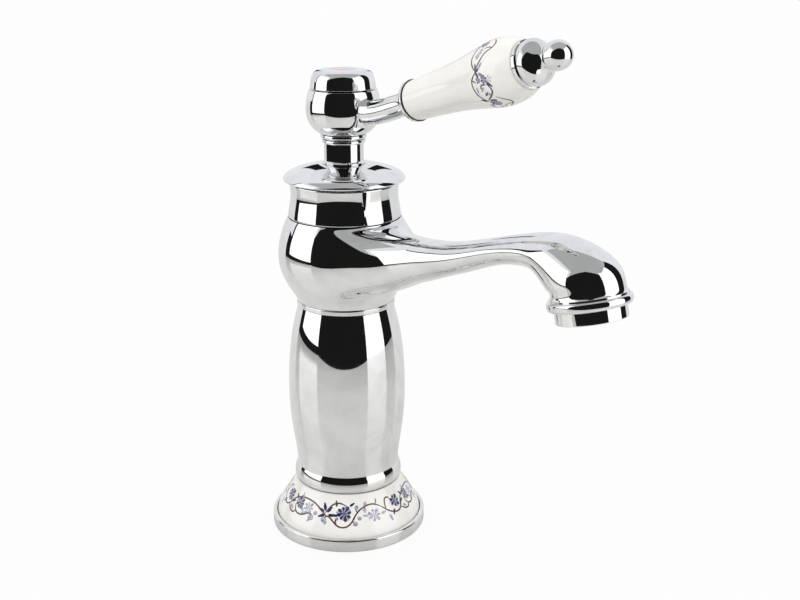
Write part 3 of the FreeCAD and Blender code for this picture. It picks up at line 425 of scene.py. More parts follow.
# Dark tone, light tone, gloss from and to, fineness of the clouds, and depth of the grain in millimetres.
PLAIN_FINISHES = {
    "black_rubber": ((0.012, 0.012, 0.013, 1), (0.03, 0.03, 0.031, 1), (0.55, 0.75), 300.0, 0.05),
    "clear_washer": ((0.62, 0.64, 0.64, 1), (0.72, 0.74, 0.74, 1), (0.25, 0.4), 200.0, 0.03),
    "cartridge_plastic": ((0.55, 0.56, 0.57, 1), (0.64, 0.65, 0.66, 1), (0.35, 0.5), 220.0, 0.04),
    "aerator_plastic": ((0.58, 0.59, 0.6, 1), (0.68, 0.69, 0.7, 1), (0.35, 0.5), 260.0, 0.04),
    "disc_ceramic": ((0.78, 0.77, 0.74, 1), (0.85, 0.84, 0.82, 1), (0.12, 0.2), 150.0, 0.02),
    "plain_brass": ((0.52, 0.36, 0.14, 1), (0.68, 0.5, 0.22, 1), (0.22, 0.38), 180.0, 0.03),
    "steel": ((0.42, 0.42, 0.43, 1), (0.55, 0.55, 0.56, 1), (0.2, 0.34), 240.0, 0.03),
}
METALS = ("plain_brass", "steel")


def plain_finish(name, dark, light, gloss, scale, depth):
    finish, tree, shader, place = new_finish(name)
    shader.inputs["Metallic"].default_value = 1.0 if name in METALS else 0.0
    tone = two_tones(tree, noise(tree, place, scale, detail=5.0), dark, light)
    tree.links.new(tone.outputs["Color"], shader.inputs["Base Color"])
    grain = noise(tree, place, scale * GRAIN_FINENESS, detail=4.0)
    sheen = spread(tree, grain, *gloss)
    tree.links.new(sheen.outputs["Result"], shader.inputs["Roughness"])
    relief(tree, shader, grain, GRAIN_STRENGTH, depth * MM)
    return finish


# %% Hot and cold mark
MARK_EDGE = 0.08


def index_finish():
    """Red on the hot side, blue on the cold side; the plug's own Y axis parts them."""
    finish, tree, shader, place = new_finish("index_enamel")
    shader.inputs["Roughness"].default_value = 0.1
    shader.inputs["Coat Weight"].default_value = 1.0
    shader.inputs["Coat IOR"].default_value = 1.7
    axes = tree.nodes.new("ShaderNodeSeparateXYZ")
    tree.links.new(place.outputs["Object"], axes.inputs["Vector"])
    side = tree.nodes.new("ShaderNodeMapRange")
    side.inputs["From Min"].default_value = -MARK_EDGE * MM
    side.inputs["From Max"].default_value = MARK_EDGE * MM
    tree.links.new(axes.outputs["Y"], side.inputs["Value"])
    grain = noise(tree, place, scale=900.0)
    red = two_tones(tree, grain, (0.55, 0.07, 0.07, 1), (0.62, 0.10, 0.10, 1))
    blue = two_tones(tree, grain, (0.09, 0.15, 0.40, 1), (0.12, 0.19, 0.48, 1))
    both = tree.nodes.new("ShaderNodeMix")
    both.data_type = "RGBA"
    tree.links.new(side.outputs["Result"], both.inputs["Factor"])
    tree.links.new(red.outputs["Color"], both.inputs["A"])
    tree.links.new(blue.outputs["Color"], both.inputs["B"])
    tree.links.new(both.outputs["Result"], shader.inputs["Base Color"])
    return finish


# %% Give every node its finish
finishes = {"chrome_plate": chrome, "porcelain": porcelain}
for name, recipe in PLAIN_FINISHES.items():
    finishes[name] = plain_finish(name, *recipe)
finishes["index_mark"] = index_finish()

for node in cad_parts.values():
    for slot in node.material_slots:
        slot.material = finishes[slot.material.name.split(".")[0]]
print("finishes:", sorted(finishes))

# %% [markdown]
# ## Turned pieces
#
# Most of the tap is turned on a lathe or moulded round an axis. Half of the section is drawn once, with
# straight runs and smooth curves, and spun into a solid. Stacked cylinders would need less drawing, but a
# chromed profile lives from its soft transitions. The sections follow the CAD model, with small shifts
# where the photograph shows a fuller curve, a bead or a deeper seam. Narrow edges are rounded, and the long
# plain runs keep true normals, so that their reflections stay straight.

# %% Draw a half section and spin it
TURN_STEPS = 128
MERGE = 0.002 * MM
CURVE_ORDER, CURVE_STEPS = 4, 10
SHARP_ANGLE, SMOOTH_ANGLE = math.radians(28), math.radians(35)
EDGE_STEPS = 3


def draw_section(name, start, *runs):
    """A pair ends a straight run, a list holds the control points of a curve; radius and level in mm."""
    drawing = bpy.data.curves.new(name, "CURVE")
    drawing.dimensions = "3D"
    pen = start
    for run in runs:
        smooth = isinstance(run, list)
        poles = [pen, *run] if smooth else [pen, run]
        spline = drawing.splines.new("NURBS" if smooth else "POLY")
        spline.points.add(len(poles) - 1)
        for point, (radius, level) in zip(spline.points, poles):
            point.co = (radius * MM, 0, level * MM, 1)
        if smooth:
            spline.order_u = min(CURVE_ORDER, len(poles))
            spline.use_endpoint_u = True
            spline.resolution_u = CURVE_STEPS
        pen = poles[-1]
    return curve_to_mesh(name, drawing)


def curve_to_mesh(name, drawing):
    start_clean()
    piece = bpy.data.objects.new(name, drawing)
    bpy.context.collection.objects.link(piece)
    piece.select_set(True)
    bpy.context.view_layer.objects.active = piece
    bpy.ops.object.convert(target="MESH")
    return bpy.context.object


def spin_section(piece):
    bpy.ops.object.mode_set(mode="EDIT")
    bpy.ops.mesh.select_all(action="SELECT")
    bpy.ops.mesh.remove_doubles(threshold=MERGE)
    bpy.ops.mesh.spin(steps=TURN_STEPS, angle=2 * math.pi, center=(0, 0, 0), axis=(0, 0, 1))
    bpy.ops.mesh.select_all(action="SELECT")
    bpy.ops.mesh.remove_doubles(threshold=MERGE)
    bpy.ops.mesh.normals_make_consistent(inside=False)
    bpy.ops.object.mode_set(mode="OBJECT")


def round_edges(piece, width):
    edges = piece.modifiers.new("soft_edges", "BEVEL")
    edges.limit_method = "ANGLE"
    edges.angle_limit = SHARP_ANGLE
    edges.width = width * MM
    edges.segments = EDGE_STEPS
    bpy.ops.object.modifier_apply(modifier=edges.name)
    bpy.ops.object.shade_smooth_by_angle(angle=SMOOTH_ANGLE)
    flats = piece.modifiers.new("true_flats", "WEIGHTED_NORMAL")
    flats.keep_sharp = True
    bpy.ops.object.modifier_apply(modifier=flats.name)


def lean_piece(piece, place, turn):
    """Lay a piece that was drawn upright on a leaning axis, and keep that place in its mesh."""
    piece.location = Vector(place) * MM
    piece.rotation_euler = (0, math.radians(turn), 0)
    bpy.ops.object.transform_apply(location=True, rotation=True, scale=True)


def dress(piece, body, node, finish):
    piece.data.materials.clear()
    piece.data.materials.append(finish)
    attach(piece, body)
    if node:
        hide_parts(node)
    print(piece.name, "faces:", len(piece.data.polygons))


def turned_piece(node, body, finish, edge, section, place=None, turn=0.0):
    piece = draw_section(node + "_turned", *section)
    spin_section(piece)
    round_edges(piece, edge)
    if place:
        lean_piece(piece, place, turn)
    dress(piece, body, node, finish)


# %% [markdown]
# ### Skirt, column and neck ring
#
# The porcelain skirt is a hollow cone with a soft lip. The column stands on it with a round flange, swells
# to a belly and draws in to a thin bead under the bulb.

# %% Skirt
SKIRT_LIP = (30.2, 4.3)
SKIRT_CURVE = [(30.2, 6.7), (26.714, 12.4), (23.3, 17.5), (22.0, 20.3)]
turned_piece("porcelain_skirt", "body", porcelain, 0.15, [
    (26.2, 3.9), (29.8, 3.9), [(30.2, 3.9), SKIRT_LIP], SKIRT_CURVE,
    [(22.0, 20.7), (21.6, 20.7)], (19.35, 20.7), (19.35, 16.15), (26.2, 3.9),
])

# %% Column and neck ring
turned_piece("column", "body", chrome, 0.2, [
    (16.65, 7.8), (19.2, 7.8), (19.2, 20.9), (20.7, 20.9),
    [(22.2, 20.9), (22.2, 23.2)], [(22.2, 25.5), (21.0, 27.6)],
    [(21.0, 32.6), (23.7, 45.375), (24.2, 65.745), (22.5, 84.078), (20.3, 92.226), (19.2, 96.3)],
    (17.45, 96.3), (17.45, 84.4),
    [(21.4, 67.6), (21.4, 45.2), (16.65, 21.8)], (16.65, 7.8),
])
turned_piece("neck_ring", "body", chrome, 0.1, [
    (17.45, 96.3), (19.2, 96.3), [(19.8, 96.3), (19.8, 96.825)], (19.8, 97.875),
    [(19.8, 98.4), (19.1, 98.4)], (17.45, 98.4), (17.45, 96.3),
])

# %% [markdown]
# ### Collar, hat and hub
#
# A plain collar covers the cartridge nut: it is straight at its top and flares towards the bulb. The hat
# above it is thin sheet, and it turns and tilts with the lever. The hub stands on the hat: a short neck
# with two beads, a cup, and a screwed cap with an open seam.

# %% Collar and hat
turned_piece("collar", "body", chrome, 0.2, [
    (18.65, 132.3), (21.95, 132.3), (22.4, 132.75),
    [(22.0, 136.0), (21.2, 139.0), (21.1, 142.6), (21.55, 145.5)], [(21.6, 146.3), (20.6, 146.3)],
    (19.95, 146.3), (19.95, 137.75), (18.65, 137.75), (18.65, 132.3),
])
turned_piece("hat", "handle", chrome, 0.12, [
    (22.9, 146.9), (23.45, 146.9), [(24.0, 146.9), (24.0, 147.508)],
    [(22.95, 149.75), (18.0, 151.0), (12.0, 152.95), (8.35, 153.2)],
    (7.05, 153.2), (7.05, 152.1), (8.35, 152.1), [(17.9, 149.7), (22.3, 148.7), (22.9, 146.9)],
])

# %% Hub and cap
turned_piece("hub", "handle", chrome, 0.15, [
    (0.0, 138.5), (7.0, 138.5), (7.0, 153.2), (8.35, 153.2), (8.35, 153.9), (7.75, 154.5), (7.75, 161.3),
    [(8.5, 161.3), (8.5, 162.05)], [(8.5, 162.8), (8.0, 162.8)], (8.0, 163.1),
    [(9.0, 163.1), (9.0, 163.9)], [(9.0, 164.7), (8.6, 164.8)],
    [(10.0, 165.2), (12.6, 167.3), (14.9, 172.0), (14.5, 177.98), (13.2, 181.9)],
    (10.4, 181.9), (10.4, 178.55), (0.0, 178.55),
])
turned_piece("hub_cap", "handle", chrome, 0.12, [
    (9.25, 178.7), (10.35, 178.7), (10.35, 181.9), (11.2, 181.9), (11.2, 182.45), (12.75, 182.45),
    [(12.4, 184.7), (12.2, 187.1), (10.4, 189.4), (7.6, 189.45), (5.05, 189.5)],
    (5.05, 188.9), (0.0, 188.9), (0.0, 187.95), (9.25, 187.95), (9.25, 178.7),
])
turned_piece("index_plug", "handle", finishes["index_mark"], 0.08, [
    (0.0, 188.9), (5.0, 188.9), (5.0, 189.45), [(3.0, 189.65), (0.0, 189.65)],
])

# %% [markdown]
# ### Lever: grip, bell and ball
#
# The grip is a porcelain handle on a tie rod, between the arm's ferrule and a chromed bell with a ball nut.
# These pieces are drawn upright and then laid along the lever's axis.

# %% Grip, bell and ball
LEVER_PLACE = (41.5, 0.0, 181.8)
LEVER_TURN = 72.3
GRIP_FOOT = (7.35, 1.0)
GRIP_CURVE = [(7.982, 17.996), (8.829, 29.012), (12.3, 45.7), (10.4, 52.6), (8.8, 55.2)]
turned_piece("porcelain_grip", "handle", porcelain, 0.15, [
    (2.65, 0.5), (6.85, 0.5), [(7.35, 0.5), GRIP_FOOT], GRIP_CURVE,
    [(8.5, 55.7), (8.1, 55.7)], (2.65, 55.7), (2.65, 0.5),
], LEVER_PLACE, LEVER_TURN)
turned_piece("grip_washer", "handle", finishes["black_rubber"], 0.05, [
    (2.65, 0.2), (7.65, 0.2), (7.65, 0.6), (2.65, 0.6), (2.65, 0.2),
], LEVER_PLACE, LEVER_TURN)
turned_piece("end_bell", "handle", chrome, 0.12, [
    (2.65, 55.7), (8.1, 55.7), (8.1, 57.2), (7.6, 57.2),
    [(8.3, 60.0), (6.6, 62.7), (3.3, 63.6), (3.3, 65.0)], (2.65, 65.0), (2.65, 55.7),
], LEVER_PLACE, LEVER_TURN)
turned_piece("finial", "handle", chrome, 0.1, [
    (2.65, 65.0), (3.05, 65.0), [(4.9, 65.735), (4.9, 67.058), (4.9, 69.018)],
    [(4.9, 71.724), (2.706, 73.918), (0.0, 73.918)], (0.0, 69.168), (2.65, 69.168), (2.65, 65.0),
], LEVER_PLACE, LEVER_TURN)

# %% [markdown]
# ### Aerator
#
# The aerator screws into the outlet. Its shell is chromed and its grille stays as it is in the CAD model. A
# bead runs round the outlet above it.

# %% Aerator shell and the outlet's bead
OUTLET_PLACE = (124.5, 0.0, 125.6)
OUTLET_TURN = -13.5
turned_piece("aerator_housing", "body", chrome, 0.1, [
    (9.35, -6.2), (11.683, -6.2), [(12.05, -6.2), (12.05, -5.833)],
    (12.05, -1.8), (11.0, -1.8), (11.0, 3.8), (9.9, 3.8), (9.9, -5.1), (9.35, -5.1), (9.35, -6.2),
], OUTLET_PLACE, OUTLET_TURN)
bead = draw_section(
    "outlet_bead", (11.05, -1.8), (12.9, -1.8), [(14.25, -1.8), (14.25, 0.0)],
    [(14.25, 1.44), (13.25, 1.44)], (13.25, 2.15), (11.05, 2.15), (11.05, -1.8),
)
spin_section(bead)
round_edges(bead, 0.1)
lean_piece(bead, OUTLET_PLACE, OUTLET_TURN)
dress(bead, "body", None, chrome)

# %% [markdown]
# ## The bulb and its swan spout
#
# This casting is the one form that no lathe gives. It starts as a coarse cage: a ring is extruded upwards
# into the bulb, a patch is opened on its front, and the edge of that patch is extruded along the spout's
# stations. A subdivision surface then draws one smooth skin over the cage, so the root of the spout flows
# out of the bulb as it does on a polished casting. Two solids joined with a boolean would show a hard seam
# there.

# %% Ring helpers
LEVEL_PLAY, RADIUS_PLAY = 0.01, 0.02
SKIN_LEVELS = 3
SKIN_ANGLE = math.radians(40)


def edit(piece, *steps):
    """Run edit-mode operators on a piece, one after the other."""
    bpy.context.view_layer.objects.active = piece
    bpy.ops.object.mode_set(mode="EDIT")
    for step in steps:
        step()
    bpy.ops.object.mode_set(mode="OBJECT")


def chosen_points(piece):
    return [point for point in piece.data.vertices if point.select]


def growth(sides):
    """A smooth skin shrinks a ring of so many sides; this factor makes up for it."""
    return 6 / (4 + 2 * math.cos(2 * math.pi / sides))


def extrude_level(piece, radius, level):
    """Extrude the selected ring to another radius and level."""
    edit(piece, bpy.ops.mesh.extrude_region_move)
    for point in chosen_points(piece):
        angle = math.atan2(point.co.y, point.co.x)
        point.co = Vector((radius * math.cos(angle), radius * math.sin(angle), level)) * MM


def crease_level(piece, radius, level):
    """Keep one ring sharp under the subdivision surface."""
    layers = piece.data.attributes
    creases = layers.get("crease_edge") or layers.new("crease_edge", "FLOAT", "EDGE")
    for edge in piece.data.edges:
        ends = [piece.data.vertices[number].co for number in edge.vertices]
        if all(abs(end.z - level * MM) < LEVEL_PLAY * MM for end in ends):
            if all(abs(math.hypot(end.x, end.y) - radius * MM) < RADIUS_PLAY * MM for end in ends):
                creases.data[edge.index].value = 1.0


def smooth_skin(piece):
    skin = piece.modifiers.new("skin", "SUBSURF")
    skin.levels = SKIN_LEVELS
    skin.render_levels = SKIN_LEVELS
    bpy.ops.object.modifier_apply(modifier=skin.name)
    bpy.ops.object.shade_smooth_by_angle(angle=SKIN_ANGLE)


def select_none():
    bpy.ops.mesh.select_all(action="DESELECT")


def select_all():
    bpy.ops.mesh.select_all(action="SELECT")


def by_points():
    bpy.ops.mesh.select_mode(type="VERT")


def by_faces():
    bpy.ops.mesh.select_mode(type="FACE")


# %% Bulb cage
BULB_SIDES = 24
BULB_GROWTH = growth(BULB_SIDES)
BULB_RINGS = [
    (19.5, 98.4), (20.5, 100.6), (22.2, 103.2), (24.7, 107.2), (26.75, 113.2),
    (26.75, 119.2), (25.55, 125.3), (23.1, 131.2), (22.5, 132.3),
]
NECK_RINGS = [(18.6, 132.3), (18.6, 137.3), (15.6, 137.3), (15.6, 95.0)]
SPIGOT_RINGS = [(17.4, 98.4), (17.4, 84.4)]

start_clean()
foot_radius, foot_level = BULB_RINGS[0]
bpy.ops.mesh.primitive_circle_add(
    vertices=BULB_SIDES, radius=foot_radius * BULB_GROWTH * MM,
    location=(0, 0, foot_level * MM), rotation=(0, 0, math.pi / BULB_SIDES),
)
casting = bpy.context.object
casting.name = "spout_casting"
bpy.ops.object.transform_apply(location=True, rotation=True, scale=True)
for radius, level in BULB_RINGS[1:] + NECK_RINGS:
    extrude_level(casting, radius * BULB_GROWTH, level)
edit(casting, bpy.ops.mesh.edge_face_add, select_none, by_points)
for point in casting.data.vertices:
    point.select = abs(point.co.z - foot_level * MM) < LEVEL_PLAY * MM
for radius, level in SPIGOT_RINGS:
    extrude_level(casting, radius * BULB_GROWTH, level)
edit(casting, bpy.ops.mesh.edge_face_add)
print("bulb cage points:", len(casting.data.vertices))

# %% Open the patch for the spout
PATCH_LOW, PATCH_MIDDLE, PATCH_HIGH = 107.2, 119.19, 131.2
PATCH_TURN = math.radians(50)
PATCH_INNER = 20.0
ANGLE_PLAY = 0.01


def in_patch(face):
    ahead = abs(math.atan2(face.center.y, face.center.x)) < PATCH_TURN
    outside = math.hypot(face.center.x, face.center.y) > PATCH_INNER * MM
    return ahead and outside and PATCH_LOW * MM < face.center.z < PATCH_HIGH * MM


edit(casting, select_none, by_faces)
for face in casting.data.polygons:
    face.select = in_patch(face)
edit(casting, lambda: bpy.ops.mesh.delete(type="FACE"), by_points, bpy.ops.mesh.select_non_manifold)


def ring_angles(piece, middle):
    """Even angles for the selected points, in the order in which they lie round the middle."""
    def turn(point):
        return math.atan2(point.co.z - middle * MM, point.co.y)
    points = chosen_points(piece)
    ranked = sorted(points, key=turn)
    below = sum(turn(point) < -ANGLE_PLAY for point in ranked)
    rank = {point.index: number for number, point in enumerate(ranked)}
    return [(rank[point.index] - below) * 2 * math.pi / len(points) for point in points]


SPOUT_ANGLES = ring_angles(casting, PATCH_MIDDLE)
SPOUT_SIDES = len(SPOUT_ANGLES)
print("points round the patch:", SPOUT_SIDES)

# %% [markdown]
# A station is one section of the spout: how far out, how high, its tilt, half its height, half its width,
# and how square it is. Two is an ellipse, and a little more gives the broad shoulder at the root.

# %% Run the spout out of the patch
ROUND = 2.0
CAGE_ROUNDS = 16
SPOUT_STATIONS = [
    (25.5, 118.7, 2.0, 12.8, 16.6, 2.3), (31.0, 119.7, 6.0, 11.6, 13.9, 2.2),
    (37.0, 121.1, 9.5, 10.1, 11.5, 2.1), (43.3, 122.7, 12.0, 8.7, 9.7, ROUND),
    (49.18, 124.0, 14.0, 7.8, 8.8, ROUND), (58.5, 126.3, 16.0, 6.45, 8.0, ROUND),
    (67.85, 128.95, 17.0, 5.6, 7.5, ROUND), (77.8, 132.3, 17.0, 5.0, 7.3, ROUND),
    (87.77, 135.36, 15.5, 4.9, 7.4, ROUND), (100.85, 137.95, 1.5, 6.2, 8.7, ROUND),
    (111.2, 137.3, -24.0, 9.2, 10.8, ROUND), (119.8, 133.85, -50.0, 12.1, 12.5, ROUND),
    (122.95, 131.1, -70.0, 12.6, 12.6, ROUND), (123.8, 128.7, -76.5, 12.55, 12.55, ROUND),
    (124.2, 127.2, -76.5, 13.2, 13.2, ROUND), (124.74, 124.63, -76.5, 13.5, 13.5, ROUND),
]


def cage_of(stations):
    """Push the stations out until the smooth surface, which cuts corners, runs through the wanted ones."""
    cage = [list(station) for station in stations]
    for attempt in range(CAGE_ROUNDS):
        drawn = [
            [(before + 4 * here + after) / 6 for before, here, after in zip(*three)]
            for three in zip(cage, cage[1:], cage[2:])
        ]
        for number, smooth in enumerate(drawn, start=1):
            wanted = stations[number]
            cage[number] = [here + goal - got for here, goal, got in zip(cage[number], wanted, smooth)]
    return cage


def bowed(share, fullness):
    return math.copysign(abs(share) ** (2 / fullness), share)


def section_point(station, angle, grown):
    reach, level, tilt, half_height, half_width, fullness = station
    lean = math.radians(tilt)
    up = Vector((-math.sin(lean), 0, math.cos(lean)))
    side = Vector((0, 1, 0)) * half_width * bowed(math.cos(angle), fullness)
    rise = up * half_height * bowed(math.sin(angle), fullness)
    return (Vector((reach, 0, level)) + (side + rise) * grown) * MM


def run_along(piece, angles, stations):
    """Extrude the selected ring from station to station; new points come in the order of the old ones."""
    grown = growth(len(angles))
    for station in stations:
        edit(piece, bpy.ops.mesh.extrude_edges_move)
        for point, angle in zip(chosen_points(piece), angles):
            point.co = section_point(station, angle, grown)


def close_end(piece):
    edit(piece, bpy.ops.mesh.edge_face_add, select_all,
         lambda: bpy.ops.mesh.normals_make_consistent(inside=False))


run_along(casting, SPOUT_ANGLES, cage_of(SPOUT_STATIONS))
close_end(casting)
for radius, level in [BULB_RINGS[0], BULB_RINGS[-1]] + NECK_RINGS + SPIGOT_RINGS:
    crease_level(casting, radius * BULB_GROWTH, level)
smooth_skin(casting)
dress(casting, "body", "spout_body", chrome)

# %% [markdown]
# ## The lever's arm
#
# The arm grows out of the hub, bends upwards and opens into a ferrule that holds the grip. It is made the
# same way as the spout, from round sections, so that its highlight runs in one line from the hub to the
# ferrule.

# %% Arm
ARM_SIDES = 16
ARM_START = (9.0, 174.7, 0.0, 4.95, 4.95, ROUND)
ARM_STATIONS = [
    (11.0, 174.7, 0.0, 4.95, 4.95, ROUND), (13.6, 174.7, 0.0, 4.9, 4.9, ROUND),
    (16.0, 174.72, 1.0, 4.8, 4.8, ROUND), (20.7, 175.41, 8.5, 4.65, 4.65, ROUND),
    (27.44, 177.256, 14.5, 4.5, 4.5, ROUND), (33.21, 179.155, 17.7, 4.35, 4.35, ROUND),
    (37.36, 180.48, 17.7, 4.4, 4.4, ROUND),
]
FERRULE_RINGS = [
    (-2.7, 5.0), (-1.95, 6.5), (-1.35, 7.5), (-1.0, 7.75), (0.1, 7.8), (0.25, 7.75), (0.25, 7.3), (0.25, 2.7),
]


def along_lever(distance, radius):
    lean = math.radians(90 - LEVER_TURN)
    reach = LEVER_PLACE[0] + distance * math.cos(lean)
    level = LEVER_PLACE[2] + distance * math.sin(lean)
    return (reach, level, 90 - LEVER_TURN, radius, radius, ROUND)


start_clean()
bpy.ops.mesh.primitive_circle_add(vertices=ARM_SIDES)
arm = bpy.context.object
arm.name = "lever_arm_swept"
arm_angles = [2 * math.pi * number / ARM_SIDES for number in range(ARM_SIDES)]
for point, angle in zip(arm.data.vertices, arm_angles):
    point.co = section_point(ARM_START, angle, growth(ARM_SIDES))
edit(arm, select_all, by_points)
run_along(arm, arm_angles, cage_of(ARM_STATIONS) + [along_lever(*ring) for ring in FERRULE_RINGS])
edit(arm, bpy.ops.mesh.edge_face_add, select_none, bpy.ops.mesh.select_non_manifold)
close_end(arm)
smooth_skin(arm)
dress(arm, "handle", "lever_arm", chrome)

# %% [markdown]
# ## The vine scroll
#
# A blue vine runs round the skirt and the grip. On the real tap it is a printed transfer under the glaze.
# Here it is drawn on a flat sheet, as a decorator draws it: round brush strokes for the stems, and a petal,
# a leaf and a berry that are modelled once and copied. The sheet is then laid on the porcelain, a few
# hundredths of a millimetre proud. A texture could do the same, but real strokes keep a clean edge at any
# distance.


# %% Inks
def ink_finish(name, dark, light, scale):
    finish, tree, shader, place = new_finish(name)
    shader.inputs["Roughness"].default_value = 0.1
    shader.inputs["Coat Weight"].default_value = 0.3
    shader.inputs["Coat Roughness"].default_value = 0.03
    clouds = noise(tree, place, scale, detail=4.0, roughness=0.6)
    tone = two_tones(tree, clouds, dark, light, low=0.36, high=0.62)
    tree.links.new(tone.outputs["Color"], shader.inputs["Base Color"])
    return finish


stem_ink = ink_finish("stem_ink", (0.055, 0.022, 0.020, 1), (0.17, 0.085, 0.075, 1), 260.0)
navy_ink = ink_finish("navy_ink", (0.010, 0.011, 0.036, 1), (0.07, 0.075, 0.18, 1), 900.0)
pale_ink = ink_finish("pale_ink", (0.20, 0.20, 0.33, 1), (0.60, 0.59, 0.69, 1), 800.0)
print("inks:", stem_ink.name, navy_ink.name, pale_ink.name)


# %% Sheet and surface
def surface_line(name, start, curve):
    """Arc length, radius and level along a turned surface, in millimetres."""
    line = draw_section(name, start, curve)
    radius, level = np.array([(point.co.x, point.co.z) for point in line.data.vertices]).T / MM
    bpy.data.objects.remove(line)
    arc = np.concatenate([[0.0], np.cumsum(np.hypot(np.diff(radius), np.diff(level)))])
    return arc, radius, level


def on_sheet(line, middle, turn, level):
    """The flat place of an angle and a level: across the sheet and up the sheet."""
    return Vector((math.radians(turn) * middle, np.interp(level, line[2], line[0]), 0)) * MM


def wrap(piece, line, middle):
    """Lay the sheet on the turned surface: across goes round it, up goes along it, height stands proud."""
    arc, radius, level = line
    outward = np.gradient(level, arc)
    upward = -np.gradient(radius, arc)
    for point in piece.data.vertices:
        across, along, proud = point.co / MM
        out = np.interp(along, arc, radius) + proud * np.interp(along, arc, outward)
        high = np.interp(along, arc, level) + proud * np.interp(along, arc, upward)
        turn = across / middle
        point.co = Vector((out * math.cos(turn), out * math.sin(turn), high)) * MM


# %% Petal, leaf and berry
INK_EDGE, INK_TOP = 0.008, 0.05
MARK_SIDES = 14
TIP_SHARE = 0.95
RIM_SHARE = 0.22


def brush_mark(name, length, width, point_out):
    """A flat oval with its foot at the origin and its tip upwards; the middle is a touch proud."""
    start_clean()
    bpy.ops.mesh.primitive_circle_add(
        vertices=MARK_SIDES, radius=0.5 * MM, fill_type="NGON", location=(0, 0, INK_EDGE * MM)
    )
    mark = bpy.context.object
    mark.name = name
    bpy.ops.object.transform_apply(location=True, rotation=True, scale=True)
    edit(mark, select_all,
         lambda: bpy.ops.transform.resize(value=(width, length, 1)),
         lambda: bpy.ops.transform.translate(value=(0, length / 2 * MM, 0)))
    for point in mark.data.vertices:
        if point.co.y > TIP_SHARE * length * MM:
            point.co.y += point_out * MM
    edit(mark, lambda: bpy.ops.mesh.inset(thickness=RIM_SHARE * width * MM),
         lambda: bpy.ops.transform.translate(value=(0, 0, (INK_TOP - INK_EDGE) * MM)))
    bpy.ops.object.shade_smooth()
    return mark


petal = brush_mark("petal", 1.0, 0.66, 0.0)
leaf = brush_mark("leaf", 1.9, 0.95, 0.45)
berry = brush_mark("berry", 1.0, 1.0, 0.0)
print("brush marks:", petal.name, leaf.name, berry.name)


# %% Copy the marks
EYE_SIZE = 0.36
FLOWER_TURN = 0.2
GROUND_THICKNESS = 0.5
PETAL_VARIATION = 0.16


def lay_copy(mark, spot, turn, size):
    copy = mark.copy()
    copy.data = mark.data.copy()
    bpy.context.collection.objects.link(copy)
    copy.location = spot
    copy.rotation_euler = (0, 0, turn)
    copy.scale = (size, size, 1)
    return copy


def petal_ring(spot, size, count, length, foot, start):
    copies = []
    for number in range(count):
        turn = start + 2 * math.pi * number / count
        away = Vector((-math.sin(turn), math.cos(turn), 0)) * foot * size * MM
        uneven = 1 + PETAL_VARIATION * math.cos(3 * turn + size)
        copies.append(lay_copy(petal, spot + away, turn, uneven * length * size))
    return copies


def flower(spot, size, petals):
    """An outer and an inner ring of petals round a small eye."""
    eye = lay_copy(berry, spot - Vector((0, EYE_SIZE / 2 * size * MM, 0)), 0, EYE_SIZE * size)
    outer = petal_ring(spot, size, petals, length=1.0, foot=0.55, start=FLOWER_TURN)
    inner = petal_ring(spot, size, petals - 2, length=0.55, foot=0.2, start=0.5)
    return [eye, *outer, *inner]


def flower_ground(spot, size, petals):
    """Wide pale petals that show between the dark ones."""
    copies = petal_ring(spot, size, petals, length=1.35, foot=0.1, start=FLOWER_TURN + math.pi / petals)
    for copy in copies:
        copy.scale.z = GROUND_THICKNESS
    return copies


def join_pieces(name, pieces):
    start_clean()
    for piece in pieces:
        piece.select_set(True)
    bpy.context.view_layer.objects.active = pieces[0]
    bpy.ops.object.join()
    bpy.ops.object.transform_apply(location=True, rotation=True, scale=True)
    joined = bpy.context.object
    joined.name = name
    return joined


# %% Stems and repeats
STEM_ROOT, STEM_TIP = 0.6, 0.45


def draw_stems(name, line, middle, strokes, width):
    drawing = bpy.data.curves.new(name, "CURVE")
    drawing.dimensions = "3D"
    drawing.bevel_depth = width / 2 * MM
    drawing.bevel_resolution = 1
    for stroke in strokes:
        spline = drawing.splines.new("NURBS")
        spline.points.add(len(stroke) - 1)
        for point, (turn, level) in zip(spline.points, stroke):
            point.co = (*on_sheet(line, middle, turn, level), 1)
        spline.points[0].radius = STEM_ROOT
        spline.points[-1].radius = STEM_TIP
        spline.order_u = 3
        spline.use_endpoint_u = True
        spline.resolution_u = 6
    stems = curve_to_mesh(name, drawing)
    stems.scale = (1, 1, 2 * INK_TOP / width)
    bpy.ops.object.transform_apply(location=True, rotation=True, scale=True)
    bpy.ops.object.shade_smooth()
    return stems


def repeat_round(unit, middle, times):
    """Copy one repeat of the pattern round the sheet and make it one piece."""
    step = 2 * math.pi / times * middle * MM
    places = [Vector((number * step, 0, 0)) for number in range(1, times)]
    return join_pieces(unit.name, [unit] + [lay_copy(unit, place, 0, 1) for place in places])


# %% [markdown]
# The skirt carries the same spray three times: a wave that rises to a leafy node, dips under a dark flower
# and climbs to the next. Places are given as an angle round the tap and a level, as they are read from the
# photograph.

